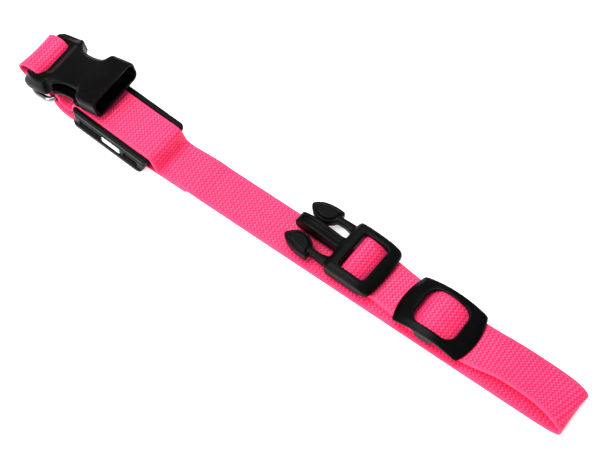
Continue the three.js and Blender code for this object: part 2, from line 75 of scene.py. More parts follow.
class NodeSheet:
    """A material or geometry node tree that is filled node by node."""

    def __init__(self, tree: bpy.types.NodeTree) -> None:
        """Empties the tree and keeps it."""
        self.tree = tree
        tree.nodes.clear()

    def node(self, kind: str, inputs: dict | None = None, **settings: object) -> bpy.types.Node:
        """Adds one node.

        Args:
            kind: The node's type name.
            inputs: Values or sockets by input name or index.
            **settings: Properties of the node.

        Returns:
            The new node.
        """
        made = self.tree.nodes.new(kind)
        for name, value in settings.items():
            setattr(made, name, value)
        for name, value in (inputs or {}).items():
            self.feed(made.inputs[name], value)
        return made

    def feed(self, socket: bpy.types.NodeSocket, value: object) -> None:
        """Links a socket to the input, or sets its default value.

        Args:
            socket: The input.
            value: The socket or the value that it takes.
        """
        if isinstance(value, bpy.types.NodeSocket):
            self.tree.links.new(value, socket)
        else:
            socket.default_value = value

    def math(self, operation: str, *values: object) -> bpy.types.NodeSocket:
        """Adds a math node over numbers or sockets and returns its result."""
        made = self.node("ShaderNodeMath", dict(enumerate(values)), operation=operation)
        return made.outputs[0]

    def ramp(self, value: object, low: object, high: object, to_low: object = 0,
             to_high: object = 1) -> bpy.types.NodeSocket:
        """Maps a value from one range to another, clamped and eased.

        Args:
            value: The value.
            low: Where the first range starts.
            high: Where the first range ends.
            to_low: Where the second range starts.
            to_high: Where the second range ends.

        Returns:
            The mapped value.
        """
        made = self.node(
            "ShaderNodeMapRange",
            {"Value": value, "From Min": low, "From Max": high, "To Min": to_low, "To Max": to_high},
            interpolation_type="SMOOTHSTEP",
        )
        return made.outputs[0]

    def mix(self, share: object, first: object, second: object, blend: str = "MIX") -> bpy.types.NodeSocket:
        """Mixes two colours.

        Args:
            share: How much of the second colour there is.
            first: The first colour.
            second: The second colour.
            blend: The way of mixing.

        Returns:
            The mixed colour.
        """
        made = self.node("ShaderNodeMix", data_type="RGBA", blend_type=blend)
        for name, value in (("Factor_Float", share), ("A_Color", first), ("B_Color", second)):
            self.feed(next(s for s in made.inputs if s.identifier == name), value)
        return next(s for s in made.outputs if s.identifier == "Result_Color")


def new_material(name: str) -> tuple[bpy.types.Material, NodeSheet]:
    """Makes an empty node material and the sheet to fill it by.

    Args:
        name: The material's name.

    Returns:
        The material and its sheet.
    """
    material = bpy.data.materials.new(name)
    material.use_nodes = True
    return material, NodeSheet(material.node_tree)


# the weave, in shares of a column's width and of a float's length
RIDGE_SHARE = 0.86
STAGGER = 0.3
RISE_FROM, RISE_TO = 0.06, 0.36


def float_height(sheet: NodeSheet, across: object, along: object, column: object,
                 row: object) -> tuple[bpy.types.NodeSocket, bpy.types.NodeSocket]:
    """The weave's height over a flat place, in a material or in a geometry tree.

    Each column is one warp end. Its floats are two rows long, and the next column's are a bit further on.

    Args:
        sheet: The tree that the nodes go in.
        across: Place across the strap, from its middle.
        along: Place along the strap.
        column: Width of a column.
        row: Half the distance from a float to the next in its column.

    Returns:
        The height from 0 to 1, and a vector that numbers the float.
    """
    count = sheet.math("DIVIDE", across, column)
    number = sheet.math("ROUND", count)
    aside = sheet.math("SUBTRACT", count, number)
    ridge = sheet.math("COSINE", sheet.math("MULTIPLY", aside, math.pi * RIDGE_SHARE))
    odd = sheet.math("MULTIPLY", sheet.math("PINGPONG", number, 1.0), STAGGER)
    turns = sheet.math("ADD", sheet.math("DIVIDE", along, sheet.math("MULTIPLY", row, 2.0)), odd)
    lap = sheet.math("FLOOR", turns)
    inside = sheet.math("SUBTRACT", turns, lap)
    from_end = sheet.math("SUBTRACT", 0.5, sheet.math("ABSOLUTE", sheet.math("SUBTRACT", inside, 0.5)))
    run = sheet.ramp(from_end, RISE_FROM, RISE_TO)
    cell = sheet.node("ShaderNodeCombineXYZ", {0: number, 1: lap, 2: 0.0})
    return sheet.math("MULTIPLY", ridge, run), cell.outputs[0]


# finishes

@dataclass(frozen=True)
class WebbingFinish:
    """Pink woven polyester: long floats on staggered columns, with painted shade between them and a painted
    highlight on their crowns, and fine filaments.
    """

    # The first tone is a painted highlight on the float crowns. The second is painted shade in the hollows
    # between the floats, and also the tone of the random dark flecks.
    light: tuple = (0.99, 0.095, 0.245, 1)
    hollow_shade_and_fleck: tuple = (0.82, 0.004, 0.080, 1)
    edge: tuple = (0.95, 0.020, 0.118, 1)
    dusty: tuple = (0.99, 0.120, 0.28, 1)
    filament: float = 0.11
    roughness: float = 0.5
    sheen: float = 0.04
    bump: float = 0.00005
    rim_fade: float = 0.7

    def make(self, webbing: "Webbing") -> bpy.types.Material:
        """Builds the material on the strap's own across and along map.

        Args:
            webbing: The strap's sizes.

        Returns:
            The material.
        """
        material, sheet = new_material("pink_webbing")
        uv = sheet.node("ShaderNodeUVMap", uv_map="weave")
        place = sheet.node("ShaderNodeSeparateXYZ", {0: uv.outputs[0]})
        across, along = place.outputs[0], place.outputs[1]
        crown, cell = float_height(sheet, across, along, webbing.column_pitch * MM, webbing.row_pitch * MM)
        rim_from = webbing.width / 2 - webbing.selvedge
        rim = sheet.ramp(sheet.math("ABSOLUTE", across), rim_from * MM, (rim_from + self.rim_fade) * MM)
        inner = sheet.math("SUBTRACT", 1.0, sheet.math("MULTIPLY", rim, 0.75))
        drawn_out = sheet.math("MULTIPLY", along, 0.12)
        stretched = sheet.node("ShaderNodeCombineXYZ", {0: across, 1: drawn_out, 2: 0.0})
        strands = sheet.node("ShaderNodeTexNoise", {
            "Vector": stretched.outputs[0], "Scale": 1 / (self.filament * MM), "Detail": 2.0})
        fuzz = sheet.node("ShaderNodeTexNoise", {"Vector": uv.outputs[0], "Scale": 260.0, "Detail": 3.0})
        irregular = sheet.node("ShaderNodeTexWhiteNoise", {"Vector": cell}, noise_dimensions="3D")
        uneven = sheet.ramp(irregular.outputs["Value"], 0.0, 1.0, 0.80, 1.0)
        # Painted shade and highlight: the hollows between the floats take the dark tone and the crowns the
        # light one, less so near the selvedges.
        share = sheet.math("MULTIPLY", sheet.ramp(crown, 0.14, 1.0), uneven)
        hollow_shade_share = sheet.math("MULTIPLY", sheet.math("SUBTRACT", 1.0, share), inner)
        share = sheet.math("SUBTRACT", 1.0, hollow_shade_share)
        tone = sheet.mix(share, self.hollow_shade_and_fleck, self.light)
        tone = sheet.mix(sheet.math("MULTIPLY", rim, 0.7), tone, self.edge)
        tone = sheet.mix(sheet.ramp(fuzz.outputs[0], 0.35, 0.75, 0.0, 0.2), tone, self.hollow_shade_and_fleck)
        tone = sheet.mix(sheet.ramp(strands.outputs[0], 0.55, 0.8, 0.0, 0.35), tone, self.dusty)
        height = sheet.math("MULTIPLY_ADD", strands.outputs[0], 0.35, sheet.math("MULTIPLY", crown, 0.5))
        bump = sheet.node("ShaderNodeBump", {"Height": height, "Strength": 0.8, "Distance": self.bump})
        shader = sheet.node("ShaderNodeBsdfPrincipled", {
            "Base Color": tone, "Roughness": self.roughness, "Normal": bump.outputs[0],
            "Sheen Weight": self.sheen, "Sheen Roughness": 0.4, "Specular IOR Level": 0.28})
        sheet.node("ShaderNodeOutputMaterial", {0: shader.outputs[0]})
        return material


@dataclass(frozen=True)
class ThreadFinish:
    """Pink sewing thread with its twist."""

    colour: tuple = (0.96, 0.045, 0.17, 1)
    shade: tuple = (0.55, 0.003, 0.05, 1)
    twist: float = 0.35
    roughness: float = 0.55

    def make(self) -> bpy.types.Material:
        """Builds the material with fine slanted bands, with painted shade in the grooves between them.

        Returns:
            The material.
        """
        material, sheet = new_material("pink_thread")
        where = sheet.node("ShaderNodeTexCoord")
        bands = sheet.node("ShaderNodeTexWave", {
            "Vector": where.outputs["Object"], "Scale": 1 / (self.twist * MM * 6.28), "Distortion": 1.5},
            bands_direction="DIAGONAL")
        # Painted shade: where the twist bands sink, the thread takes the shade tone.
        tone = sheet.mix(sheet.ramp(bands.outputs[1], 0.1, 0.9), self.shade, self.colour)
        bump = sheet.node("ShaderNodeBump", {
            "Height": bands.outputs[1], "Strength": 0.5, "Distance": 0.00005})
        shader = sheet.node("ShaderNodeBsdfPrincipled", {
            "Base Color": tone, "Roughness": self.roughness, "Normal": bump.outputs[0]})
        sheet.node("ShaderNodeOutputMaterial", {0: shader.outputs[0]})
        return material


@dataclass(frozen=True)
class MouldedFinish:
    """Moulded plastic: fine spark texture, faint flow marks and handling scuffs."""

    name: str
    colour: tuple
    worn: tuple
    roughness: float
    grain: float = 0.35
    grain_depth: float = 0.000018
    specular: float = 0.4
    subsurface: float = 0.0

    def make(self) -> bpy.types.Material:
        """Builds the material on object coordinates.

        Returns:
            The material.
        """
        material, sheet = new_material(self.name)
        where = sheet.node("ShaderNodeTexCoord").outputs["Object"]
        grain = sheet.node("ShaderNodeTexNoise", {
            "Vector": where, "Scale": 1 / (self.grain * MM), "Detail": 3.0, "Roughness": 0.6})
        flow = sheet.node("ShaderNodeTexNoise", {
            "Vector": where, "Scale": 55.0, "Detail": 4.0, "Distortion": 0.6})
        squeezed = sheet.node("ShaderNodeMapping", {"Vector": where, "Scale": (90.0, 900.0, 900.0)})
        scuffs = sheet.node("ShaderNodeTexNoise", {
            "Vector": squeezed.outputs[0], "Scale": 1.0, "Detail": 4.0})
        scuffed = sheet.ramp(scuffs.outputs[0], 0.62, 0.78)
        tone = sheet.mix(sheet.ramp(flow.outputs[0], 0.35, 0.75, 0.0, 0.55), self.colour, self.worn)
        tone = sheet.mix(sheet.math("MULTIPLY", scuffed, 0.3), tone, self.worn)
        clean = sheet.ramp(flow.outputs[0], 0.3, 0.7, self.roughness - 0.05, self.roughness + 0.07)
        rough = sheet.math("ADD", clean, sheet.math("MULTIPLY", scuffed, 0.08))
        bump = sheet.node("ShaderNodeBump", {
            "Height": grain.outputs[0], "Strength": 0.6, "Distance": self.grain_depth})
        shader = sheet.node("ShaderNodeBsdfPrincipled", {
            "Base Color": tone, "Roughness": rough, "Normal": bump.outputs[0],
            "Specular IOR Level": self.specular, "Subsurface Weight": self.subsurface,
            "Subsurface Radius": (0.001, 0.001, 0.001)})
        sheet.node("ShaderNodeOutputMaterial", {0: shader.outputs[0]})
        return material


@dataclass(frozen=True)
class SteelFinish:
    """Nickel-plated steel wire, polished, with faint drawing lines."""

    # The tone is nickel grey set darker than plated steel is, a painted dark reflection that stands in for
    # dark surroundings mirrored in the wire.
    colour: tuple = (0.25, 0.255, 0.27, 1)
    dull: tuple = (0.15, 0.15, 0.165, 1)
    roughness: float = 0.13

    def make(self) -> bpy.types.Material:
        """Builds the material on object coordinates.

        Returns:
            The material.
        """
        material, sheet = new_material("plated_steel")
        where = sheet.node("ShaderNodeTexCoord").outputs["Object"]
        cloud = sheet.node("ShaderNodeTexNoise", {"Vector": where, "Scale": 160.0, "Detail": 4.0})
        fine = sheet.node("ShaderNodeTexNoise", {"Vector": where, "Scale": 2600.0, "Detail": 2.0})
        tone = sheet.mix(sheet.ramp(cloud.outputs[0], 0.45, 0.8, 0.0, 0.5), self.colour, self.dull)
        rough = sheet.ramp(cloud.outputs[0], 0.35, 0.75, self.roughness - 0.03, self.roughness + 0.12)
        bump = sheet.node("ShaderNodeBump", {
            "Height": fine.outputs[0], "Strength": 0.3, "Distance": 0.00001})
        shader = sheet.node("ShaderNodeBsdfPrincipled", {
            "Base Color": tone, "Metallic": 1.0, "Roughness": rough, "Normal": bump.outputs[0]})
        sheet.node("ShaderNodeOutputMaterial", {0: shader.outputs[0]})
        return material


BLACK = MouldedFinish(
    "black_plastic", (0.0012, 0.0012, 0.0013, 1), (0.0027, 0.0027, 0.0028, 1), 0.31, specular=0.06)
WHITE = MouldedFinish("white_plastic", (0.86, 0.86, 0.85, 1), (0.8, 0.8, 0.78, 1), 0.35, subsurface=0.15)


# shapes given by a signed distance, negative inside

def smooth_max(a: np.ndarray, b: np.ndarray, radius: float) -> np.ndarray:
    """The larger of two fields, with a fillet of about the radius where they cross."""
    near = np.maximum(radius - np.abs(a - b), 0) / radius
    return np.maximum(a, b) + near * near * radius / 4


def smooth_min(a: np.ndarray, b: np.ndarray, radius: float) -> np.ndarray:
    """The smaller of two fields, with a fillet of about the radius where they cross."""
    return -smooth_max(-a, -b, radius)


def ease(value: np.ndarray, start: float, end: float) -> np.ndarray:
    """A smooth step from 0 at the start to 1 at the end, which may be the smaller."""
    share = np.clip((value - start) / (end - start), 0, 1)
    return share * share * (3 - 2 * share)


def through(x: np.ndarray, knots: Sequence[tuple[float, float]]) -> np.ndarray:
    """A smooth curve through a few knots, flat past its ends.

    Args:
        x: Where the curve is read.
        knots: Rows of place and value, in rising order.

    Returns:
        The curve's values at x.
    """
    place, value = np.array(knots, float).T
    step = np.diff(value) / np.diff(place)
    slope = np.concatenate([[step[0]], (step[1:] + step[:-1]) / 2, [step[-1]]])
    x = np.clip(x, place[0], place[-1])
    row = np.clip(np.searchsorted(place, x, side="right") - 1, 0, len(step) - 1)
    span = (place[1:] - place[:-1])[row]
    t = (x - place[row]) / span
    v0, v1, m0, m1 = value[row], value[row + 1], slope[row] * span, slope[row + 1] * span
    return (v0 * (2 * t**3 - 3 * t**2 + 1) + m0 * (t**3 - 2 * t**2 + t)
            + v1 * (3 * t**2 - 2 * t**3) + m1 * (t**3 - t**2))


def rounded_outline(points: Sequence[tuple[float, float]], rounds: int = 2) -> np.ndarray:
    """Cuts an outline's corners so that it reads as one curve.

    Args:
        points: The outline's corners.
        rounds: How often the corners are cut.

    Returns:
        The rounded outline's corners, one a row.
    """
    outline = np.array(points, float)
    for _ in range(rounds):
        after = np.roll(outline, -1, axis=0)
        cut = [outline * 0.75 + after * 0.25, outline * 0.25 + after * 0.75]
        outline = np.stack(cut, axis=1).reshape(-1, 2)
    return outline


def outline_distance(u: np.ndarray, v: np.ndarray, outline: np.ndarray) -> np.ndarray:
    """Signed distance to a closed outline.

    Args:
        u: First coordinate of the places asked for.
        v: Second coordinate, which broadcasts with the first.
        outline: The outline's corners, one a row.

    Returns:
        The distance, negative inside.
    """
    shape = np.broadcast(u, v).shape
    nearest = np.full(shape, np.inf)
    sign = np.ones(shape)
    for a, b in zip(outline, np.roll(outline, 1, axis=0)):
        eu, ev = b - a
        wu, wv = u - a[0], v - a[1]
        t = np.clip((wu * eu + wv * ev) / (eu * eu + ev * ev), 0, 1)
        nearest = np.minimum(nearest, (wu - t * eu) ** 2 + (wv - t * ev) ** 2)
        above, below, left = v >= a[1], v < b[1], eu * wv > ev * wu
        flips = (above & below & left) | (~above & ~below & ~left)
        sign = np.where(flips, -sign, sign)
    return sign * np.sqrt(nearest)


def box_distance(u: np.ndarray, v: np.ndarray, half_u: object, half_v: object,
                 radius: object) -> np.ndarray:
    """Signed distance to a rectangle with round corners, centred on zero.

    Args:
        u: First coordinate of the places asked for, from the middle.
        v: Second coordinate, from the middle.
        half_u: Half the rectangle's first side.
        half_v: Half its second side.
        radius: The corners' radius.

    Returns:
        The distance, negative inside.
    """
    du, dv = np.abs(u) - half_u + radius, np.abs(v) - half_v + radius
    outside = np.sqrt(np.maximum(du, 0) ** 2 + np.maximum(dv, 0) ** 2)
    return outside + np.minimum(np.maximum(du, dv), 0) - radius


def between(value: np.ndarray, low: object, high: object) -> np.ndarray:
    """Signed distance to the slab from low to high."""
    return np.maximum(low - value, value - high)


Field = Callable[[np.ndarray, np.ndarray, np.ndarray], np.ndarray]
CORNERS = np.array([[i, j, k] for i in (0, 1) for j in (0, 1) for k in (0, 1)])
CELL_EDGES = [(a, b) for a in range(8) for b in range(a + 1, 8)
              if np.abs(CORNERS[a] - CORNERS[b]).sum() == 1]


def skin(shape: Field, low: Sequence[float], high: Sequence[float],
         cell: float) -> tuple[np.ndarray, np.ndarray]:
    """Lays a mesh of four-sided faces on the surface of a field.

    Args:
        shape: The field, negative inside.
        low: Lowest corner of the space it is read in.
        high: Highest corner of that space.
        cell: Size of a face.

    Returns:
        The vertices and the faces' vertex numbers.
    """
    lines = [np.arange(a - cell, b + 2 * cell, cell) for a, b in zip(low, high)]
    x, y, z = np.meshgrid(*lines, indexing="ij", sparse=True)
    values = np.broadcast_to(shape(x, y, z), [len(v) for v in lines])
    inside = values < 0
    cells = [n - 1 for n in inside.shape]
    filled = sum(inside[i:i + cells[0], j:j + cells[1], k:k + cells[2]].astype(np.int8)
                 for i, j, k in CORNERS)
    mixed = np.argwhere((filled > 0) & (filled < 8))
    corner = np.stack([values[tuple((mixed + c).T)] for c in CORNERS], axis=1)
    total, count = np.zeros(mixed.shape), np.zeros((len(mixed), 1))
    for a, b in CELL_EDGES:
        va, vb = corner[:, a], corner[:, b]
        cross = ((va < 0) != (vb < 0))
        share = np.where(cross, va / np.where(cross, va - vb, 1), 0)[:, None]
        point = CORNERS[a] + share * (CORNERS[b] - CORNERS[a])
        total += np.where(cross[:, None], point, 0)
        count += cross[:, None]
    vertices = np.array([v[0] for v in lines]) + (mixed + total / count) * cell
    number = np.full(cells, -1)
    number[tuple(mixed.T)] = np.arange(len(mixed))
    faces = []
    for axis in range(3):
        first, second = (axis + 1) % 3, (axis + 2) % 3
        ahead = np.roll(inside, -1, axis=axis)
        change = np.argwhere(inside != ahead)
        keep = (change[:, axis] < cells[axis]) & (change[:, first] > 0) & (change[:, second] > 0)
        change = change[keep]
        ring = []
        for back_first, back_second in ((1, 1), (0, 1), (0, 0), (1, 0)):
            at = change.copy()
            at[:, first] -= back_first
            at[:, second] -= back_second
            ring.append(number[tuple(at.T)])
        quads = np.stack(ring, axis=1)
        outward = inside[tuple(change.T)]
        faces.append(np.where(outward[:, None], quads, quads[:, ::-1]))
    return vertices, np.concatenate(faces)


# pieces

def add_mesh(name: str, vertices: np.ndarray, faces: Sequence,
             material: bpy.types.Material) -> bpy.types.Object:
    """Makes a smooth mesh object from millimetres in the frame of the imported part.

    Args:
        name: The piece's name.
        vertices: Vertices in millimetres.
        faces: Vertex numbers of each face.
        material: The finish.

    Returns:
        The new object, at the origin.
    """
    mesh = bpy.data.meshes.new(name)
    rows = faces.tolist() if isinstance(faces, np.ndarray) else faces
    mesh.from_pydata((vertices * MM).tolist(), [], rows)
    mesh.shade_smooth()
    mesh.materials.append(material)
    piece = bpy.data.objects.new(name, mesh)
    bpy.context.scene.collection.objects.link(piece)
    return piece


def triangles(piece: bpy.types.Object) -> int:
    """Counts the triangles that a piece's faces make."""
    return sum(len(p.vertices) - 2 for p in piece.data.polygons)


def hand_in(piece: bpy.types.Object, slot: Slot, *nodes: str) -> None:
    """Puts a piece on the collar's body, hides the nodes that it replaces, and reports it.

    Args:
        piece: The piece.
        slot: Its material slot. Not used.
        *nodes: The nodes that it replaces.
    """
    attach(piece, ROOT)
    if nodes:
        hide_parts(*nodes)
    LOG.info("%s: %d triangles", piece.name, triangles(piece))


def moved(vertices: np.ndarray, matrix: Matrix) -> np.ndarray:
    """Applies a matrix to rows of vertices."""
    m = np.array(matrix)
    return vertices @ m[:3, :3].T + m[:3, 3]


def turn(degrees: float, axis: str) -> Matrix:
    """A rotation about one axis."""
    return Matrix.Rotation(math.radians(degrees), 4, axis)


@dataclass
class Layout:
    """Where the drawing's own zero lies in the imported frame."""

    shift: np.ndarray

    def place(self, vertices: np.ndarray) -> np.ndarray:
        """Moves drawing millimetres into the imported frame."""
        return vertices + self.shift


@dataclass
class Webbing:
    """The woven strap's own sizes and the layers that it lies in."""

    width: float = 25.7
    thickness: float = 1.5
    gap: float = 0.35
    columns: int = 25
    row_pitch: float = 1.15
    selvedge: float = 1.9
    relief: float = 0.2
    seed: int = 7

    @property
    def floor(self) -> float:
        """Height of the middle of a ply that lies on the surface."""
        return self.thickness / 2

    @property
    def second(self) -> float:
        """Height of the middle of the next ply up."""
        return self.floor + self.thickness + self.gap

    @property
    def third(self) -> float:
        """Height of the middle of the third ply."""
        return self.second + self.thickness + self.gap

    @property
    def slot_half(self) -> float:
        """Half the width of a slot that the webbing passes through."""
        return self.width / 2 + 0.35

    @property
    def column_pitch(self) -> float:
        """Width of a column of the weave."""
        return self.width / self.columns


class Stop(NamedTuple):
    """One place on the strap's centre line. Lean raises the near edge, in degrees, and bulge the middle."""

    x: float
    y: float
    z: float
    lean: float = 0.0
    bulge: float = 0.0


class Stations(NamedTuple):
    """Places along the strap with their directions."""

    along: np.ndarray
    point: np.ndarray
    across: np.ndarray
    up: np.ndarray
    bulge: np.ndarray


@dataclass
class Route:
    """The strap's centre line, from its short sewn end to its far sewn end."""

    webbing: Webbing
    deck: float
    fine: int = 24

    def stops(self) -> list[Stop]:
        """The chosen places, in order.

        Returns:
            The stops, from the short sewn end to the far one.
        """
        w = self.webbing
        floor, second, third, deck = w.floor, w.second, w.third, self.deck
        layer = w.thickness + w.gap
        short_ply = [
            Stop(-61.8, -0.7, floor), Stop(-86, -0.8, floor), Stop(-136, -1.1, floor),
            Stop(-143, -1.6, floor + 0.05), Stop(-149, -1.1, floor + 0.7),
        ]
        under_ring = [
            Stop(-153, 0.6, 1.7), Stop(-157, 1.9, 1.65), Stop(-162, 2.7, 1.9), Stop(-166.5, 2.9, 3.6),
            Stop(-171, 3.1, 4.7),
        ]
        socket_loop = [
            Stop(-176.5, 3.0, 5.2), Stop(-180.7, 2.9, 6.9, 0, -0.4), Stop(-182.4, 2.8, 10.3, 0, -0.7),
            Stop(-181.0, 2.8, 13.9, 0, -0.8), Stop(-176.9, 2.9, 16.1, 0, -0.8),
            Stop(-171.8, 3.0, 16.0, 0, -0.7), Stop(-168.3, 3.1, 13.4, 0, -0.4), Stop(-166.4, 3.1, 9.8),
            Stop(-163.2, 3.1, 6.8), Stop(-159.6, 2.8, 6.95),
        ]
        over_ring = [
            Stop(-156, 2.3, 7.15), Stop(-152.4, 1.4, 5.4), Stop(-149, 0.7, floor + 0.7 + layer),
            Stop(-145.0, 0.5, 3.45), Stop(-142.5, 0.4, 5.2), Stop(-141.4, 0.3, 8.8),
            Stop(-140.3, 0.3, 11.8), Stop(-137.4, 0.2, deck + 0.35), Stop(-133.0, 0, deck),
            Stop(-92.0, -2.0, deck),
        ]
        down_from_module = [
            Stop(-87.2, -2.2, deck + 0.3), Stop(-83.8, -2.2, 12.6), Stop(-82.2, -2.1, 10.2),
            Stop(-81.0, -1.9, 7.2), Stop(-79.3, -1.6, 4.3), Stop(-76.0, -1.3, second + 0.2),
            Stop(-71, -1.1, second), Stop(-62, -0.7, second), Stop(-57, -0.4, second - 0.4),
            Stop(-50, -0.1, floor + 0.3), Stop(-44, 0, floor),
        ]
        long_run = [Stop(0, 0, floor), Stop(150, 0, floor), Stop(163, 0.1, floor + 0.1)]
        fold = [
            Stop(170.0, 0.3, 1.4), Stop(173.2, 0.5, 3.0), Stop(173.2, 0.8, 5.2, 1),
            Stop(171.0, 1.5, 7.0, 3), Stop(166.2, 2.8, 7.9, 7),
        ]
        raised = [
            Stop(158, 4.1, 7.6, 11), Stop(146, 5.0, 6.8, 13), Stop(132, 5.0, 6.0, 11),
            Stop(121, 4.2, 4.8, 4), Stop(114, 3.7, third),
        ]
        over_slider = [
            Stop(107, 3.4, 4.9), Stop(101, 3.4, 8.4), Stop(95.5, 3.4, 10.9), Stop(90.5, 3.4, 11.6),
            Stop(85.5, 3.4, 10.4), Stop(81.2, 3.5, 6.8), Stop(77.0, 3.8, 4.8), Stop(71.6, 4.2, third),
            Stop(56, 5.9, third),
        ]
        round_plug = [
            Stop(52.4, 6.2, third), Stop(49.0, 6.4, 5.0), Stop(45.9, 6.5, 7.3), Stop(42.2, 6.5, 9.3),
            Stop(38.6, 6.5, 10.0), Stop(35.6, 6.5, 8.8), Stop(34.8, 6.5, 5.9), Stop(36.0, 6.5, 3.5),
            Stop(39.0, 6.5, second), Stop(57, 5.9, second), Stop(72, 4.2, second), Stop(86, 3.4, second),
        ]
        sewn_end = [
            Stop(91.6, 3.4, 3.1), Stop(95.0, 3.4, 5.0), Stop(94.5, 3.4, 7.8), Stop(91.2, 3.4, 8.8),
            Stop(87.4, 3.4, 8.0), Stop(84.4, 3.4, 5.4), Stop(81.9, 3.4, third + 0.1),
        ]
        return (short_ply + under_ring + socket_loop + over_ring + down_from_module + long_run + fold
                + raised + over_slider + round_plug + sewn_end)

    def stations(self, step: float) -> Stations:
        """Even steps along the centre line, a centripetal curve through the stops.

        Args:
            step: Distance between stations.

        Returns:
            Stations with their directions.
        """
        stops = self.stops()
        rows = np.array([[s.x, s.y, s.z] for s in stops])
        rows = np.vstack([2 * rows[0] - rows[1], rows, 2 * rows[-1] - rows[-2]])
        points, leans, bulges = [], [], []
        for i in range(len(stops) - 1):
            p0, p1, p2, p3 = rows[i:i + 4]
            d0, d1, d2 = (np.linalg.norm(b - a) ** 0.5 for a, b in ((p0, p1), (p1, p2), (p2, p3)))
            m1 = ((p1 - p0) / d0 - (p2 - p0) / (d0 + d1) + (p2 - p1) / d1) * d1
            m2 = ((p2 - p1) / d1 - (p3 - p1) / (d1 + d2) + (p3 - p2) / d2) * d1
            t = np.linspace(0, 1, self.fine, endpoint=i == len(stops) - 2)[:, None]
            points.append(p1 * (2 * t**3 - 3 * t**2 + 1) + m1 * (t**3 - 2 * t**2 + t)
                          + p2 * (3 * t**2 - 2 * t**3) + m2 * (t**3 - t**2))
            leans.append(stops[i].lean * (1 - t) + stops[i + 1].lean * t)
            bulges.append(stops[i].bulge * (1 - t) + stops[i + 1].bulge * t)
        line = np.concatenate(points)
        lean = np.concatenate(leans)[:, 0]
        reach = np.concatenate([[0], np.cumsum(np.linalg.norm(np.diff(line, axis=0), axis=1))])
        along = np.linspace(0, reach[-1], int(round(reach[-1] / step)) + 1)
        point = np.stack([np.interp(along, reach, line[:, k]) for k in range(3)], axis=1)
        slopes = [np.gradient(line[:, k], reach) for k in range(3)]
        ahead = np.stack([np.interp(along, reach, slope) for slope in slopes], axis=1)
        ahead /= np.linalg.norm(ahead, axis=1)[:, None]
        tilt = np.radians(np.interp(along, reach, lean))
        across = np.stack([np.zeros_like(tilt), np.cos(tilt), -np.sin(tilt)], axis=1)
        across -= ahead * (across * ahead).sum(axis=1)[:, None]
        across /= np.linalg.norm(across, axis=1)[:, None]
        bulge = np.interp(along, reach, np.concatenate(bulges)[:, 0])
        return Stations(along, point, across, np.cross(ahead, across), bulge)


class Tree(NodeSheet):
    """A geometry node tree with named inputs, whose result is kept as a plain mesh."""

    def __init__(self, name: str, inputs: dict[str, str]) -> None:
        """Makes the tree.

        Args:
            name: The tree's name.
            inputs: The type of each input socket, by its name.
        """
        group = bpy.data.node_groups.new(name, "GeometryNodeTree")
        super().__init__(group)
        group.interface.new_socket("Geometry", in_out="INPUT", socket_type="NodeSocketGeometry")
        self.identifiers = {
            label: group.interface.new_socket(label, in_out="INPUT", socket_type=kind).identifier
            for label, kind in inputs.items()}
        group.interface.new_socket("Geometry", in_out="OUTPUT", socket_type="NodeSocketGeometry")
        self.entry = group.nodes.new("NodeGroupInput")

    def read(self, name: str, kind: str) -> bpy.types.NodeSocket:
        """Reads a vertex attribute by name.

        Args:
            name: The attribute's name.
            kind: Its data type.

        Returns:
            The attribute's value.
        """
        made = self.node("GeometryNodeInputNamedAttribute", data_type=kind)
        made.inputs["Name"].default_value = name
        return next(s for s in made.outputs if s.enabled)

    def close(self, geometry: object) -> None:
        """Ends the tree in real geometry with its finish.

        Args:
            geometry: The geometry that the tree has made.
        """
        real = self.node("GeometryNodeRealizeInstances", {"Geometry": geometry})
        dressed = self.node("GeometryNodeSetMaterial", {
            "Geometry": real.outputs[0], "Material": self.entry.outputs["Material"]})
        self.node("NodeGroupOutput", {"Geometry": dressed.outputs[0]})

    def apply(self, piece: bpy.types.Object, values: dict[str, object]) -> None:
        """Runs the tree on a piece, keeps the result as its plain mesh and removes the modifier.

        Args:
            piece: The piece.
            values: The inputs' values, by name.
        """
        modifier = piece.modifiers.new(self.tree.name, "NODES")
        modifier.node_group = self.tree
        for label, value in values.items():
            modifier[self.identifiers[label]] = value
        graph = bpy.context.evaluated_depsgraph_get()
        made = bpy.data.meshes.new_from_object(piece.evaluated_get(graph), depsgraph=graph)
        made.name = piece.name
        piece.modifiers.clear()
        piece.data = made


def weave_tree() -> Tree:
    """The tree that raises the floats of the weave from a smooth ribbon.

    Returns:
        The tree, ready to apply.
    """
    tree = Tree("weave_relief", {
        "Column pitch": "NodeSocketFloat", "Row pitch": "NodeSocketFloat", "Relief": "NodeSocketFloat",
        "Seed": "NodeSocketInt", "Material": "NodeSocketMaterial"})
    given = tree.entry.outputs
    place = tree.node("ShaderNodeSeparateXYZ", {0: tree.read("place", "FLOAT_VECTOR")})
    height, cell = float_height(tree, place.outputs[0], place.outputs[1],
                                given["Column pitch"], given["Row pitch"])
    numbers = tree.node("ShaderNodeSeparateXYZ", {0: cell})
    name = tree.math("MULTIPLY_ADD", numbers.outputs[0], 977.0, numbers.outputs[1])
    uneven = tree.node("FunctionNodeRandomValue", {"ID": name, "Seed": given["Seed"]}, data_type="FLOAT")
    for label, value in (("Min", 0.7), ("Max", 1.0)):
        next(s for s in uneven.inputs if s.name == label and s.enabled).default_value = value
    chance = next(s for s in uneven.outputs if s.enabled)
    lift = tree.math("MULTIPLY", tree.math("MULTIPLY", height, chance), given["Relief"])
    lift = tree.math("MULTIPLY", lift, place.outputs[2])
    offset = tree.node("ShaderNodeVectorMath", {0: tree.read("outward", "FLOAT_VECTOR"), "Scale": lift},
                       operation="SCALE")
    raised = tree.node("GeometryNodeSetPosition", {
        "Geometry": given["Geometry"], "Offset": offset.outputs[0]})
    tree.close(raised.outputs[0])
    return tree


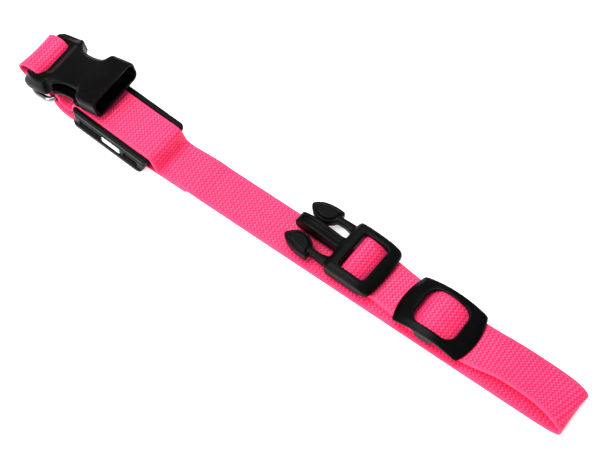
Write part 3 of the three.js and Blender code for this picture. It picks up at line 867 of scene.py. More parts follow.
def stitch_tree() -> Tree:
    """The tree that lays one plump stitch on each point, along the point's heading.

    Returns:
        The tree, ready to apply.
    """
    tree = Tree("stitches", {
        "Thread": "NodeSocketFloat", "Length": "NodeSocketFloat", "Material": "NodeSocketMaterial"})
    given = tree.entry.outputs
    ball = tree.node("GeometryNodeMeshUVSphere", {"Segments": 8, "Rings": 6, "Radius": 0.5})
    size = tree.node("ShaderNodeCombineXYZ", {0: given["Thread"], 1: given["Thread"], 2: given["Length"]})
    turned = tree.node("FunctionNodeAlignRotationToVector", {
        "Vector": tree.read("heading", "FLOAT_VECTOR")}, axis="Z")
    laid = tree.node("GeometryNodeInstanceOnPoints", {
        "Points": given["Geometry"], "Instance": ball.outputs[0], "Rotation": turned.outputs[0],
        "Scale": size.outputs[0]})
    smooth = tree.node("GeometryNodeSetShadeSmooth", {"Geometry": laid.outputs[0]})
    tree.close(smooth.outputs[0])
    return tree


def keep_vectors(mesh: bpy.types.Mesh, name: str, rows: np.ndarray) -> None:
    """Stores one vector a vertex under a name."""
    kept = mesh.attributes.new(name, "FLOAT_VECTOR", "POINT")
    kept.data.foreach_set("vector", np.ascontiguousarray(rows, np.float32).ravel())


@dataclass
class Strap:
    """The webbing: two meshes that meet on the long run, woven on both faces, and its stitches."""

    webbing: Webbing
    route: Route
    finish: bpy.types.Material
    thread: bpy.types.Material
    part_at: float = -38.0
    edge_steps: int = 3
    names: tuple[str, str] = ("strap_socket_end", "strap_plug_end")
    tack_at: tuple[float, ...] = (-150.2, -147.6)
    tack_half: float = 10.4
    tack_deep: float = 1.5
    stitch_step: float = 0.75
    thread_size: float = 0.5
    thread_proud: float = 0.06
    stitch_overlap: float = 1.12

    def section(self) -> tuple[np.ndarray, np.ndarray, np.ndarray]:
        """One slice of the ribbon.

        Returns:
            The places across, the places through, and each one's share of the relief with its sign.
        """
        w = self.webbing
        half, through_half = w.width / 2, w.thickness / 2 - w.relief / 2
        pitch = w.column_pitch
        flat = np.arange(-half + pitch / 2, half - pitch / 2 + 1e-6, pitch / 2)
        turn_angles = np.linspace(math.pi / 2, -math.pi / 2, self.edge_steps + 2)[1:-1]
        edge_a = half - pitch / 2 + np.cos(turn_angles) * pitch / 2
        edge_b = np.sin(turn_angles) * through_half
        quiet = np.zeros(self.edge_steps)
        weight = 0.25 + 0.75 * ease(half - np.abs(flat), w.selvedge - 0.9, w.selvedge + 0.3)
        weight[[0, -1]] = 0
        across = np.concatenate([flat, edge_a, flat[::-1], -edge_a])
        face = np.full(len(flat), through_half)
        depth = np.concatenate([face, edge_b, -face, -edge_b])
        relief = np.concatenate([weight, quiet, -weight[::-1], quiet])
        return across, depth, relief

    def build(self, layout: Layout) -> list[bpy.types.Object]:
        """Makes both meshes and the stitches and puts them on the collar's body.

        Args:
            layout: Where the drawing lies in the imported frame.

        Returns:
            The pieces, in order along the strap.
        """
        w = self.webbing
        rail = self.route.stations(w.row_pitch / 2)
        across, depth, relief = self.section()
        bulge = rail.bulge[:, None] * (1 - (across[None, :] * 2 / w.width) ** 2)
        lift = depth[None, :] + bulge
        rings = (rail.point[:, None, :] + rail.across[:, None, :] * across[None, :, None]
                 + rail.up[:, None, :] * lift[:, :, None])
        on_run = (rail.point[:, 0] > self.part_at) & (rail.point[:, 2] < w.thickness)
        part = int(np.argmax(on_run))
        pieces = []
        tree = weave_tree()
        for name, first, last in ((self.names[0], 0, part), (self.names[1], part, len(rings) - 1)):
            along = rail.along[first:last + 1]
            piece = self.stretch(name, layout.place(rings[first:last + 1].reshape(-1, 3)), across, along)
            outward = rail.up[first:last + 1, None, :] * np.sign(relief)[None, :, None]
            place = np.stack(np.broadcast_arrays(
                across[None, :] * MM, along[:, None] * MM, np.abs(relief)[None, :]), axis=-1)
            keep_vectors(piece.data, "outward", outward)
            keep_vectors(piece.data, "place", place)
            tree.apply(piece, {
                "Column pitch": w.column_pitch * MM, "Row pitch": w.row_pitch * MM, "Relief": w.relief * MM,
                "Seed": w.seed, "Material": self.finish})
            hand_in(piece, Slot.WEBBING, "strap")
            pieces.append(piece)
        pieces.append(self.tacks(layout, rail))
        LOG.info("strap: %.1f mm long when flat", rail.along[-1])
        return pieces

    def tacks(self, layout: Layout, rail: Stations) -> bpy.types.Object:
        """Sews the zigzag tacks that hold the two plies together beside the ring.

        Args:
            layout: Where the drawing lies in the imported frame.
            rail: The strap's stations.

        Returns:
            The stitches, as one piece.
        """
        count = int(2 * self.tack_half / self.stitch_step)
        aside = np.linspace(-self.tack_half, self.tack_half, count + 1)
        top = rail.up[:, 2] > 0.5
        middles, headings = [], []
        for at in self.tack_at:
            start = int(np.argmin(np.where(top, np.abs(rail.point[:, 0] - at), np.inf)))
            zigzag = rail.along[start] + np.where(np.arange(count + 1) % 2 == 0, -0.5, 0.5) * self.tack_deep
            point, side, up = (
                np.stack([np.interp(zigzag, rail.along, rows[:, k]) for k in range(3)], axis=1)
                for rows in (rail.point, rail.across, rail.up))
            sewn = point + side * aside[:, None] + up * (self.webbing.thickness / 2 + self.thread_proud)
            middles.append((sewn[1:] + sewn[:-1]) / 2)
            headings.append(sewn[1:] - sewn[:-1])
        heading = np.concatenate(headings)
        piece = add_mesh("tack_stitches", layout.place(np.concatenate(middles)), [], self.thread)
        keep_vectors(piece.data, "heading", heading)
        length = float(np.linalg.norm(heading, axis=1).mean()) * self.stitch_overlap
        stitch_tree().apply(piece, {
            "Thread": self.thread_size * MM, "Length": length * MM, "Material": self.thread})
        hand_in(piece, Slot.WEBBING)
        return piece

    def stretch(self, name: str, vertices: np.ndarray, across: np.ndarray,
                along: np.ndarray) -> bpy.types.Object:
        """Skins a run of slices, closes its ends and maps the weave on it.

        Args:
            name: The piece's name.
            vertices: The slices' vertices, slice by slice.
            across: Each slice vertex's place across.
            along: Each slice's place along.

        Returns:
            The new piece.
        """
        n, count = len(across), len(along)
        start = np.arange(count - 1)[:, None] * n
        j = np.arange(n)[None, :]
        after = (j + 1) % n
        sides = np.stack([start + n + j, start + n + after, start + after, start + j], axis=-1)
        ends = [list(range(n)), list(range(count * n - 1, (count - 1) * n - 1, -1))]
        piece = add_mesh(name, vertices, sides.reshape(-1, 4).tolist() + ends, self.finish)
        mesh = piece.data
        weave = mesh.uv_layers.new(name="weave")
        corner = np.empty(len(mesh.loops), np.int64)
        mesh.loops.foreach_get("vertex_index", corner)
        uv = np.stack([across[corner % n], along[corner // n]], axis=1) * MM
        weave.data.foreach_set("uv", uv.astype(np.float32).ravel())
        ends_of = np.empty(len(mesh.edges) * 2, np.int64)
        mesh.edges.foreach_get("vertices", ends_of)
        ring = (ends_of // n).reshape(-1, 2)
        sharp = (ring[:, 0] == ring[:, 1]) & ((ring[:, 0] == 0) | (ring[:, 0] == count - 1))
        mesh.edges.foreach_set("use_edge_sharp", sharp)
        return piece


@dataclass
class Socket:
    """The female half of the buckle: two arms with a bar, a narrow waist and an oval mouth."""

    webbing: Webbing
    length: float = 57.0
    half_width: float = 17.6
    arm_half: float = 19.0
    waist_half: float = 11.2
    wall: float = 1.8
    side_wall: float = 1.9
    slot_to: float = 12.3
    slot_round: float = 4.4
    floor_near: float = 3.7
    floor_far: float = 1.2
    near_slant: float = 2.4
    end_slant: float = 2.4
    bar_x: float = 4.0
    bar_z: float = -1.5
    bar_radius: float = 2.1
    mouth_round: float = 4.4
    arm_round: float = 1.7
    cavity_from: float = 21.0
    pitch: float = 13.2
    yaw: float = 0.8
    roll: float = 2.5
    at: tuple[float, float, float] = (-177.4, 3.1, 11.2)
    cell: float = 0.36
    top: tuple = ((0.2, 2.2), (1.4, 3.7), (3.4, 4.4), (5.4, 4.2), (8.5, 3.7), (14, 3.7), (18, 4.1),
                  (30, 4.9), (44, 5.9), (54, 6.4), (57, 6.4))
    bottom: tuple = ((0.2, -6.4), (1.4, -7.2), (4, -7.4), (9, -7.0), (20, -5.4), (30, -4.6), (38, -5.2),
                     (41.5, -6.5), (55, -6.6), (57, -6.6))

    def outline(self) -> np.ndarray:
        """The plan view, both sides alike.

        Returns:
            The outline's corners, one a row.
        """
        w, arm, waist = self.half_width, self.arm_half, self.waist_half
        half = [(0.2, arm - 8.6), (0.2, arm - 4.4), (1.2, arm - 2.4), (5.4, arm - 0.9), (11.0, arm),
                (16.2, arm), (18.2, arm - 0.7), (19.3, arm - 2.9), (21.4, waist + 2.5), (25, waist + 0.9),
                (29, waist), (35.4, waist), (39.2, waist + 0.7), (41.3, waist + 2.8), (42.8, w - 1.0),
                (45.0, w), (self.length - 1, w), (self.length + 0.8, w - 0.2)]
        return rounded_outline([(x, -y) for x, y in half] + [(x, y) for x, y in reversed(half)])

    def shape(self, x: np.ndarray, y: np.ndarray, z: np.ndarray) -> np.ndarray:
        """The buckle half's field, level, with its arm ends at zero.

        Args:
            x: Places along the piece.
            y: Places across it.
            z: Places through its height.

        Returns:
            The signed distance, negative inside.
        """
        end_x = x + self.end_slant * ease(z, 2.5, -6) * ease(x, 10, 2)
        plan = outline_distance(end_x, y, self.outline())
        near = ease(y, -5, -10)
        floor_wide = self.floor_far + (self.floor_near - self.floor_far) * near
        plan = plan - floor_wide * ease(z, 0.6, -1.8) * ease(x, 20, 24) * ease(x, 43, 39)
        plan = plan + self.near_slant * near * ease(z, -5, 3.5) * ease(x, 22, 17)
        waist_zone = ease(x, 17, 23) * ease(x, 44, 39)
        bevel = waist_zone * (0.9 * ease(plan, -3.2, -0.8) + 0.5 * ease(plan, -1.0, -0.2))
        scoop = 1.2 * ease(x, 19.5, 14.4) * ease(y, -11, -7) * ease(y, 14.2, 11.7)
        scoop = scoop + 1.5 * ease(np.abs(y), 13.4, 17.4) * ease(x, 23, 12)
        high = through(x, self.top) - bevel - scoop
        low = through(end_x, self.bottom) + bevel * 0.6
        middle, half = (high + low) / 2, (high - low) / 2
        corner = self.arm_round + (self.mouth_round - self.arm_round) * ease(x, 36, 46)
        side = self.arm_half + (self.half_width - self.arm_half) * ease(x, 22, 36)
        barrel = box_distance(y, z - middle, side, half, corner)
        body = smooth_max(smooth_max(plan, barrel, 1.4), x - self.length, 0.7)
        hollow = box_distance(y, z - middle, self.half_width - self.side_wall, half - self.wall, 3.0)
        hollow = smooth_max(hollow, self.cavity_from - x, 1.5)
        body = smooth_max(body, -hollow, 0.5)
        slot = box_distance(x - (self.slot_to - 10) / 2, y, (self.slot_to + 10) / 2, self.webbing.slot_half,
                            self.slot_round)
        body = smooth_max(body, -slot, 0.9)
        bar = np.sqrt((x - self.bar_x) ** 2 + (z - self.bar_z) ** 2) - self.bar_radius
        bar = np.maximum(bar, np.abs(y) - self.webbing.slot_half - 1)
        return smooth_min(body, bar, 0.8)

    def build(self, layout: Layout, finish: bpy.types.Material) -> bpy.types.Object:
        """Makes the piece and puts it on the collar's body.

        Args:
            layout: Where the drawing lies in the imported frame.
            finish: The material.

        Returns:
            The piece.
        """
        reach = self.arm_half + 1
        vertices, faces = skin(self.shape, (-1.5, -reach, -8.5), (self.length + 1, reach, 7.5), self.cell)
        pose = (Matrix.Translation(self.at) @ turn(self.yaw, "Z") @ turn(-self.pitch, "Y")
                @ turn(self.roll, "X"))
        piece = add_mesh("buckle_socket_moulding", layout.place(moved(vertices, pose)), faces, finish)
        hand_in(piece, Slot.BLACK, "buckle_socket")
        return piece


@dataclass
class Plug:
    """The male half of the buckle: a frame, a grooved guide and two sprung, leaf-headed prongs."""

    webbing: Webbing
    frame_from: float = 27.2
    frame_to: float = 56.6
    half_width: float = 16.9
    window_from: float = 33.4
    window_to: float = 50.2
    lip_half: float = 11.7
    lip_inset: float = 0.6
    lip_under: float = 10.25
    bottom: float = 3.7
    top: float = 13.2
    end_bottom: float = 5.75
    bar_x: float = 38.1
    bar_z: float = 6.0
    bar_radius: float = 1.7
    guide_from: float = -0.6
    guide_half: float = 3.6
    groove_half: float = 1.3
    groove_depth: float = 1.3
    stem_high: float = 9.8
    head_high: float = 9.5
    head_pillow: float = 0.9
    far_bent_in: float = 0.5
    y: float = 6.5
    yaw: float = -1.5
    cell: float = 0.34

    def frame_shape(self, x: np.ndarray, y: np.ndarray, z: np.ndarray) -> np.ndarray:
        """The frame with its window.

        Args:
            x: Places along the piece.
            y: Places across it.
            z: Places through its height.

        Returns:
            The signed distance, negative inside.
        """
        w, a, b = self.half_width, self.frame_from, self.frame_to
        half = [(a, w - 3.2), (a + 0.9, w - 0.7), (a + 3.0, w), (b - 4.5, w - 0.3), (b - 1.2, w - 1.1),
                (b - 0.1, w - 3.6), (b + 0.6, 5)]
        edge = rounded_outline([(u, -v) for u, v in half] + [(u, v) for u, v in reversed(half)])
        plan = outline_distance(x, y, edge)
        top = self.top
        high = through(x, ((a, top - 1.3), (a + 1.8, top - 0.4), (a + 6, top), (44, top),
                           (50, top - 0.6), (b + 1, 9.9)))
        high = high - 0.8 * ease(plan, -3.2, -0.4)
        low = self.bottom + (self.end_bottom - self.bottom) * ease(x, b - 7, b - 4)
        body = smooth_max(plan, between(z, low, high), 1.7)
        middle, half_long = (self.window_from + self.window_to) / 2, (self.window_to - self.window_from) / 2
        window = box_distance(x - middle, y, half_long, self.webbing.slot_half, 1.0)
        window = smooth_max(window, z - self.lip_under, 0.5)
        body = smooth_max(body, -window, 0.4)
        lip = box_distance(x - middle - 0.35, y, half_long - self.lip_inset, self.lip_half, 2.4)
        body = smooth_max(body, -lip, 1.3)
        past_slot = np.abs(y) - self.webbing.slot_half
        under = np.maximum(np.maximum(past_slot, self.window_to - 3 - x), z - self.end_bottom)
        body = smooth_max(body, -under, 0.5)
        bar = np.sqrt((x - self.bar_x) ** 2 + (z - self.bar_z) ** 2) - self.bar_radius
        return smooth_min(body, np.maximum(bar, past_slot - 1), 0.6)

    def guide_shape(self, x: np.ndarray, y: np.ndarray, z: np.ndarray) -> np.ndarray:
        """The blocky middle guide with a groove along its top.

        Args:
            x: Places along the piece.
            y: Places across it.
            z: Places through its height.

        Returns:
            The signed distance, negative inside.
        """
        high = through(x, ((self.guide_from, 9.6), (self.guide_from + 2.2, 11.2), (self.frame_from, 11.5)))
        low = self.bottom + 1.6 * ease(x, self.guide_from + 2.4, self.guide_from)
        body = smooth_max(np.abs(y) - self.guide_half, between(z, low, high), 0.9)
        body = smooth_max(body, between(x, self.guide_from, self.frame_from + 1), 0.9)
        groove = box_distance(y, z - high, self.groove_half, self.groove_depth, 0.5)
        groove = smooth_max(groove, between(x, self.guide_from + 2.6, self.frame_from - 0.4), 0.6)
        body = smooth_max(body, -groove, 0.5)
        waist = box_distance(np.abs(y) - self.guide_half, z - 7.0, 0.55, 0.9, 0.4)
        return smooth_max(body, -np.maximum(waist, between(x, 2.5, self.frame_from - 1.5)), 0.4)

    def prong_shape(self, x: np.ndarray, y: np.ndarray, z: np.ndarray) -> np.ndarray:
        """Both prongs: a flat stem and a leaf-shaped head with a raised middle.

        Args:
            x: Places along the piece.
            y: Places across it.
            z: Places through its height.

        Returns:
            The signed distance, negative inside.
        """
        far = (y > 0).astype(float)
        across = np.abs(y) + self.far_bent_in * far
        x = x - self.far_bent_in * far
        head_outline = rounded_outline([
            (15.6, 8.8), (12.6, 6.5), (9.2, 5.6), (5.8, 5.8), (2.7, 7.4), (0.3, 9.6), (-0.9, 11.2),
            (-0.7, 12.9), (2.0, 14.9), (6.2, 16.6), (10.8, 17.4), (15.4, 17.5), (17.2, 17.1),
            (17.1, 14.2), (16.6, 10.5)])
        plan = outline_distance(x, across, head_outline)
        pillow = self.head_pillow * ease(plan, -1.1, -2.6) - 0.7 * ease(x, 4.5, -0.5)
        groove = 0.45 * np.exp(-((plan + 1.25) / 0.42) ** 2)
        high = self.head_high + pillow - groove
        low = 4.2 + 1.2 * ease(x, 4, -0.5)
        head = smooth_max(plan, between(z, low, high), 1.3)
        stem_outline = rounded_outline([
            (13, 10.0), (17, 10.4), (22, 10.8), (26, 9.6), (30, 8.0), (31, 11), (31, 14.9), (25, 14.6),
            (20, 14.2), (16, 14.2), (13, 14.4)])
        stem = outline_distance(x, across, stem_outline)
        rib = 0.35 * ease(np.abs(across - 12.4), 1.5, 0.7)
        stem = smooth_max(stem, between(z, 4.9, self.stem_high - 0.3 + rib), 0.8)
        return smooth_min(head, stem, 0.7)

    def shape(self, x: np.ndarray, y: np.ndarray, z: np.ndarray) -> np.ndarray:
        """The whole moulding's field."""
        body = smooth_min(self.frame_shape(x, y, z), self.guide_shape(x, y, z), 1.2)
        return smooth_min(body, self.prong_shape(x, y, z), 1.0)

    def build(self, layout: Layout, finish: bpy.types.Material) -> bpy.types.Object:
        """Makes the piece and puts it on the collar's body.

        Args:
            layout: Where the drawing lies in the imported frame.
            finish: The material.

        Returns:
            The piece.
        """
        reach = self.half_width + 2
        low, high = (self.guide_from - 1.5, -reach, 3), (self.frame_to + 2, reach, self.top + 1)
        vertices, faces = skin(self.shape, low, high, self.cell)
        middle = (self.window_from + self.window_to) / 2
        pose = (Matrix.Translation((middle, self.y, 0)) @ turn(self.yaw, "Z")
                @ Matrix.Translation((-middle, 0, 0)))
        piece = add_mesh("buckle_plug_moulding", layout.place(moved(vertices, pose)), faces, finish)
        hand_in(piece, Slot.BLACK, "buckle_plug")
        return piece


@dataclass
class Slider:
    """The arched length adjuster, with a hidden middle bar on two bosses."""

    webbing: Webbing
    start: float = 69.2
    stop: float = 115.2
    corner_inset: float = 4.2
    half_width: float = 15.3
    window_from: float = 79.2
    window_to: float = 103.6
    window_round: float = 4.5
    lip_half: float = 10.9
    lip_from: float = 80.2
    lip_to: float = 105.0
    lip_round: float = 6.0
    over_strap: tuple = ((78, 6.6), (81.2, 8.3), (85.5, 11.5), (90.5, 12.7), (95.5, 12.0), (101, 9.6),
                         (104.5, 7.6))
    rail_end: float = 3.9
    rail_middle: float = 9.8
    top_end: float = 6.7
    top_middle: float = 14.1
    bar_under: float = 5.65
    bar_x: float = 91.0
    bar_half: float = 2.6
    bar_bottom: float = 4.5
    bar_top: float = 7.5
    boss_half: float = 4.2
    y: float = 3.4
    cell: float = 0.34

    def shape(self, x: np.ndarray, y: np.ndarray, z: np.ndarray) -> np.ndarray:
        """The slider's field.

        Args:
            x: Places along the piece.
            y: Places across it.
            z: Places through its height.

        Returns:
            The signed distance, negative inside.
        """
        w, inset = self.half_width, self.corner_inset
        middle, half = (self.start + self.stop) / 2, (self.stop - self.start) / 2
        corner = half - inset
        quarter = [(corner - 3.6, w + 0.1), (corner + 0.4, w + 0.1), (corner + 1.3, w - 1.4),
                   (corner + 3.0, w - 6.5), (half + 0.2, 3.0)]
        right = [(middle + u, -v) for u, v in quarter] + [(middle + u, v) for u, v in reversed(quarter)]
        left = [(2 * middle - u, v) for u, v in reversed(right)]
        plan = outline_distance(x, y, rounded_outline(right + left))
        share = ((x - middle) / half) ** 2
        crown = 0.7 * ease(plan, -4.0, -0.5)
        high = self.top_middle - (self.top_middle - self.top_end) * share - crown
        low = self.rail_middle - (self.rail_middle - self.rail_end) * share
        body = smooth_max(plan, between(z, low, high), 1.4)
        window = box_distance(x - (self.window_from + self.window_to) / 2, y,
                              (self.window_to - self.window_from) / 2, self.webbing.slot_half, 1.0)
        window = smooth_max(window, z - through(x, self.over_strap), 0.5)
        body = smooth_max(body, -window, 0.4)
        lip = box_distance(x - (self.lip_from + self.lip_to) / 2, y, (self.lip_to - self.lip_from) / 2,
                           self.lip_half, self.lip_round)
        body = smooth_max(body, -lip, 1.3)
        outside = np.maximum(x - self.window_from - 1, 0) * np.maximum(self.window_to - 1 - x, 0)
        past_slot = np.abs(y) - self.webbing.slot_half
        under = np.maximum(np.maximum(past_slot, z - self.bar_under), outside)
        body = smooth_max(body, -under, 0.5)
        boss_half = self.boss_half + 2 * ease(z, self.bar_bottom, self.rail_middle)
        boss = between(z, self.bar_bottom, self.rail_middle + 1)
        boss = np.maximum(np.abs(x - self.bar_x) - boss_half, boss)
        boss = smooth_max(boss, between(np.abs(y), self.webbing.slot_half, w - 0.2), 0.8)
        body = smooth_min(body, boss, 0.9)
        bar_middle = (self.bar_top + self.bar_bottom) / 2
        bar_deep = (self.bar_top - self.bar_bottom) / 2
        bar = box_distance(x - self.bar_x, z - bar_middle, self.bar_half, bar_deep, 1.2)
        return smooth_min(body, np.maximum(bar, past_slot - 1), 0.6)

    def build(self, layout: Layout, finish: bpy.types.Material) -> bpy.types.Object:
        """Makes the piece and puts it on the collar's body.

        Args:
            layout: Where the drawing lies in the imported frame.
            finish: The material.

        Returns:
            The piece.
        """
        reach = self.half_width + 1
        low, high = (self.start - 1, -reach, 3), (self.stop + 1, reach, 15)
        vertices, faces = skin(self.shape, low, high, self.cell)
        vertices[:, 1] += self.y
        piece = add_mesh("slider_moulding", layout.place(vertices), faces, finish)
        hand_in(piece, Slot.BLACK, "slider")
        return piece


@dataclass
class Ring:
    """The lead ring, bent from one wire: a straight bar between the plies and a bow on the surface."""

    wire: float = 3.0
    half_width: float = 18.1
    corner: float = 4.5
    bar_x: float = -156.0
    bar_z: float = 4.4
    bow_x: float = -165.0
    bow_reach: float = 14.4
    low_z: float = 1.5
    y: float = 2.6
    steps: int = 220
    sides: int = 28

    def centre_line(self) -> np.ndarray:
        """The wire's closed centre line.

        Returns:
            Even steps along it, one a row.
        """
        r = self.wire / 2
        half, corner = self.half_width - r, self.corner
        bow = self.bow_reach - r
        angle = np.radians(np.linspace(0, 90, 12))
        far = np.stack([self.bar_x - corner + corner * np.cos(angle),
                        half - corner + corner * np.sin(angle)], axis=1)
        sweep = np.radians(np.linspace(93, 267, 40))
        arc = np.stack([self.bow_x + bow * np.cos(sweep), half * np.sin(sweep)], axis=1)
        near = far[::-1] * (1, -1)
        plan = np.concatenate([far, arc, near])
        rise = (self.bar_z - self.low_z) / (self.bar_x - (self.bow_x - bow))
        height = self.low_z + rise * (plan[:, 0] - (self.bow_x - bow))
        loop = np.column_stack([plan[:, 0], plan[:, 1] + self.y, height])
        closed = np.vstack([loop, loop[:1]])
        reach = np.concatenate([[0], np.cumsum(np.linalg.norm(np.diff(closed, axis=0), axis=1))])
        even = np.linspace(0, reach[-1], self.steps, endpoint=False)
        return np.stack([np.interp(even, reach, closed[:, k]) for k in range(3)], axis=1)

    def build(self, layout: Layout, finish: bpy.types.Material) -> bpy.types.Object:
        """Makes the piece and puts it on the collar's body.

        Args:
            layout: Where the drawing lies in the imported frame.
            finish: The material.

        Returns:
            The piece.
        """
        line = self.centre_line()
        for _ in range(3):
            line = (np.roll(line, 1, axis=0) + line * 2 + np.roll(line, -1, axis=0)) / 4
        ahead = np.roll(line, -1, axis=0) - np.roll(line, 1, axis=0)
        ahead /= np.linalg.norm(ahead, axis=1)[:, None]
        rise = (self.bar_z - self.low_z) / (self.bar_x - self.bow_x + self.bow_reach)
        normal = np.array([-rise, 0, 1]) / math.hypot(rise, 1)
        side = np.cross(ahead, normal)
        side /= np.linalg.norm(side, axis=1)[:, None]
        angle = np.linspace(0, 2 * math.pi, self.sides, endpoint=False)
        rings = (line[:, None, :] + side[:, None, :] * np.cos(angle)[None, :, None] * self.wire / 2
                 + normal[None, None, :] * np.sin(angle)[None, :, None] * self.wire / 2)
        i, j = np.arange(self.steps)[:, None], np.arange(self.sides)[None, :]
        after_i, after_j = (i + 1) % self.steps, (j + 1) % self.sides
        n = self.sides
        faces = np.stack([i * n + j, i * n + after_j, after_i * n + after_j, after_i * n + j], axis=-1)
        piece = add_mesh("lead_ring", layout.place(rings.reshape(-1, 3)), faces.reshape(-1, 4), finish)
        hand_in(piece, Slot.STEEL, "d_ring")
        return piece


@dataclass
class Module:
    """The flat case that the webbing passes over, with a rim on each side and a white window."""

    webbing: Webbing
    at: tuple[float, float] = (-110.6, -1.1)
    yaw: float = -2.8
    length: float = 55.3
    width: float = 32.3
    height: float = 14.2
    deck: float = 12.0
    corner_radius: float = 3.0
    rim: float = 3.0
    rim_overhang: float = 3.4
    channel_depth: float = 2.0
    channel_wall: float = 1.4
    groove_from: float = -22.0
    groove_to: float = 20.5
    groove_bottom: float = 4.2
    groove_top: float = 8.4
    foot: float = 0.8
    groove_depth: float = 1.1
    window_from: float = -5.2
    window_to: float = 7.6
    window_stand: float = 0.25
    divider_to: float = 10.4
    parting_z: float = 10.3
    cell: float = 0.34
    window_cell: float = 0.22

    @property
    def pose(self) -> Matrix:
        """The turn and move from the case's own middle to its place."""
        return Matrix.Translation((*self.at, 0)) @ turn(self.yaw, "Z")

    @property
    def window_centre(self) -> np.ndarray:
        """The middle of the window's solid, in the drawing.

        Returns:
            Its x, y and z in millimetres.
        """
        low_y = -self.width / 2 - self.window_stand
        high_y = -self.width / 2 + self.groove_depth - self.webbing.gap
        centre = Vector(((self.window_from + self.window_to) / 2, (low_y + high_y) / 2,
                         (self.groove_bottom + self.groove_top) / 2))
        return np.array(self.pose @ centre)

    def shape(self, x: np.ndarray, y: np.ndarray, z: np.ndarray) -> np.ndarray:
        """The case's field, centred on its middle.

        Args:
            x: Places along the piece.
            y: Places across it.
            z: Places through its height.

        Returns:
            The signed distance, negative inside.
        """
        hl, hw = self.length / 2, self.width / 2
        plan = box_distance(x, y, hl, hw, self.corner_radius)
        plan = plan - self.foot * ease(z, 4.1, 3.0) * ease(y, -8, -12)
        right = through(z, ((0, hl - 7.6), (2.2, hl - 4.6), (9.6, hl - 1.3), (11.8, hl - 0.2), (14.2, hl)))
        left = -through(z, ((0, hl - 1.2), (1.2, hl), (14.2, hl)))
        body = smooth_max(plan, np.maximum(x - right, left - x), 0.8)
        body = smooth_max(body, between(z, 0, self.height), 1.1)
        inner = hw - self.rim
        trough = np.maximum(np.abs(y) - inner, self.deck - z)
        body = smooth_max(body, -trough, 0.7)
        mouth = np.maximum(np.abs(y) - inner, hl - self.rim_overhang - x)
        body = smooth_max(body, -mouth, 0.7)
        channel = np.maximum(np.abs(y) - hw + self.channel_wall, z - self.channel_depth)
        body = smooth_max(body, -channel, 0.4)
        wall = -hw + self.groove_depth
        beside_window = (self.groove_from, self.window_to + self.webbing.gap)
        for start, stop in (beside_window, (self.divider_to, self.groove_to)):
            recess = box_distance(x - (start + stop) / 2, z - (self.groove_bottom + self.groove_top) / 2,
                                  (stop - start) / 2, (self.groove_top - self.groove_bottom) / 2, 0.9)
            body = smooth_max(body, -np.maximum(recess, y - wall), 0.4)
        parting = np.maximum(np.abs(z - self.parting_z) - 0.28, -plan - 0.45)
        return smooth_max(body, -parting, 0.35)

    def window_shape(self, x: np.ndarray, y: np.ndarray, z: np.ndarray) -> np.ndarray:
        """The window's field, in the case's own frame.

        Args:
            x: Places along the piece.
            y: Places across it.
            z: Places through its height.

        Returns:
            The signed distance, negative inside.
        """
        gap, hw = self.webbing.gap * 0.5, self.width / 2
        long_half = (self.window_to - self.window_from) / 2
        tall_half = (self.groove_top - self.groove_bottom) / 2 - gap
        face = box_distance(x - (self.window_from + self.window_to) / 2,
                            z - (self.groove_bottom + self.groove_top) / 2, long_half, tall_half, 0.3)
        return smooth_max(face, between(y, -hw - self.window_stand, -hw + self.groove_depth - gap), 0.4)

    def build(self, layout: Layout, finish: bpy.types.Material,
              white: bpy.types.Material) -> list[bpy.types.Object]:
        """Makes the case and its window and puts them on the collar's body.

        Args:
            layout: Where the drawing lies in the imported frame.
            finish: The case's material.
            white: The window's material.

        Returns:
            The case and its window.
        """
        hl, hw = self.length / 2 + 1, self.width / 2 + 1
        vertices, faces = skin(self.shape, (-hl, -hw, -1), (hl, hw, self.height + 1), self.cell)
        case = add_mesh("module_shell", layout.place(moved(vertices, self.pose)), faces, finish)
        hand_in(case, Slot.BLACK, "module_case")
        low = (self.window_from - 1, -hw, self.groove_bottom - 1)
        high = (self.window_to + 1, -hw + 4, self.groove_top + 1)
        vertices, faces = skin(self.window_shape, low, high, self.window_cell)
        window = add_mesh("module_window_lens", layout.place(moved(vertices, self.pose)), faces, white)
        hand_in(window, Slot.WHITE, "module_window")
        return [case, window]


def direction(azimuth: float, elevation: float) -> Vector:
    """The way from the collar to a place, 0 in front and 90 to the right, both in degrees."""
    a, e = math.radians(azimuth), math.radians(elevation)
    return Vector((math.sin(a) * math.cos(e), -math.cos(a) * math.cos(e), math.sin(e)))


class Lamp(NamedTuple):
    """One soft square light: its place in degrees and metres, its side in metres and its watts."""

    name: str
    azimuth: float
    elevation: float
    distance: float
    size: float
    power: float


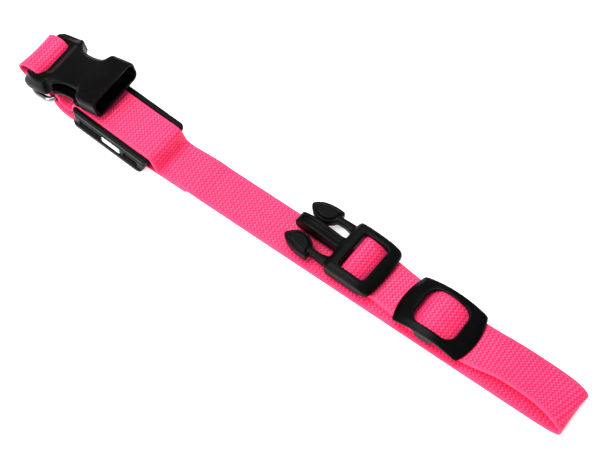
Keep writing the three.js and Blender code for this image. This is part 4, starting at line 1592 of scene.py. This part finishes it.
@dataclass
class Studio:
    """The pale floor, the lights and the camera at the photograph's angle."""

    azimuth: float = 36.9
    elevation: float = 60.28
    distance: float = 798.1
    aim: tuple[float, float, float] = (0.0, 7.58, 0.0)
    frame_width: int = 600
    focal_pixels: float = 1500.0
    sensor: float = 36.0
    floor_half: float = 6.0
    floor_glow: float = 0.5
    horizon: float = 0.25
    zenith: float = 0.65
    lamps: tuple[Lamp, ...] = (
        Lamp("key", -62, 68, 1.6, 1.1, 24),
        Lamp("back", -150, 58, 1.7, 1.0, 5),
        Lamp("fill", -15, 28, 1.8, 0.9, 21))

    def camera(self, layout: Layout) -> None:
        """Puts the camera where the photograph was taken.

        Args:
            layout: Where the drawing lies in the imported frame.
        """
        back = direction(self.azimuth, self.elevation)
        data = bpy.data.cameras.new("camera")
        data.sensor_width = self.sensor
        data.lens = self.focal_pixels * self.sensor / self.frame_width
        data.clip_end = 20
        camera = bpy.data.objects.new("camera", data)
        camera.location = Vector(layout.place(np.array(self.aim)) * MM) + back * self.distance * MM
        camera.rotation_euler = (-back).to_track_quat("-Z", "Y").to_euler()
        bpy.context.scene.collection.objects.link(camera)
        bpy.context.scene.camera = camera

    def floor(self) -> None:
        """Lays a plain white floor."""
        material, sheet = new_material("floor_white")
        shader = sheet.node("ShaderNodeBsdfPrincipled", {
            "Base Color": (0.93, 0.93, 0.93, 1), "Roughness": 0.9, "Specular IOR Level": 0.0,
            "Emission Color": (1, 1, 1, 1), "Emission Strength": self.floor_glow})
        sheet.node("ShaderNodeOutputMaterial", {0: shader.outputs[0]})
        h = self.floor_half
        mesh = bpy.data.meshes.new("floor")
        mesh.from_pydata([(-h, -h, 0), (h, -h, 0), (h, h, 0), (-h, h, 0)], [], [(0, 1, 2, 3)])
        mesh.materials.append(material)
        floor = bpy.data.objects.new("floor", mesh)
        bpy.context.scene.collection.objects.link(floor)

    def light(self, lamp: Lamp) -> None:
        """Adds one lamp that looks at the middle of the collar.

        Args:
            lamp: The lamp.
        """
        towards = direction(lamp.azimuth, lamp.elevation)
        data = bpy.data.lights.new(lamp.name, "AREA")
        data.size = lamp.size
        data.energy = lamp.power
        light = bpy.data.objects.new(lamp.name, data)
        light.location = towards * lamp.distance
        light.rotation_euler = (-towards).to_track_quat("-Z", "Y").to_euler()
        bpy.context.scene.collection.objects.link(light)

    def build(self, layout: Layout) -> None:
        """Sets up the camera, floor, lights and the view's colours.

        Args:
            layout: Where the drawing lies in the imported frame.
        """
        self.camera(layout)
        self.floor()
        world = bpy.data.worlds.new("studio")
        world.use_nodes = True
        sheet = NodeSheet(world.node_tree)
        around = sheet.node("ShaderNodeTexCoord").outputs["Generated"]
        height = sheet.node("ShaderNodeSeparateXYZ", {0: around})
        strength = sheet.ramp(height.outputs[2], 0.0, 0.75, self.horizon, self.zenith)
        sky = sheet.node("ShaderNodeBackground", {"Color": (1, 1, 1, 1), "Strength": strength})
        sheet.node("ShaderNodeOutputWorld", {0: sky.outputs[0]})
        bpy.context.scene.world = world
        for lamp in self.lamps:
            self.light(lamp)
        bpy.context.scene.view_settings.view_transform = "Standard"


def main() -> None:
    """Loads the frame, builds every piece in order, and reports it."""
    logging.basicConfig(level=logging.INFO, format="%(name)s %(message)s")
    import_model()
    webbing = Webbing()
    module = Module(webbing)
    low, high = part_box("module_window")
    layout = Layout((np.array(low) + np.array(high)) / 2 / MM - module.window_centre)
    LOG.info("the drawing's zero lies at %s mm", np.round(layout.shift, 3))
    studio = Studio()
    studio.build(layout)
    black = BLACK.make()
    route = Route(webbing, deck=module.deck + webbing.gap + webbing.thickness / 2)
    Strap(webbing, route, WebbingFinish().make(webbing), ThreadFinish().make()).build(layout)
    Socket(webbing).build(layout, black)
    Plug(webbing).build(layout, black)
    Slider(webbing).build(layout, black)
    Ring().build(layout, SteelFinish().make())
    module.build(layout, black, WHITE.make())


if __name__ == "__main__":
    main()
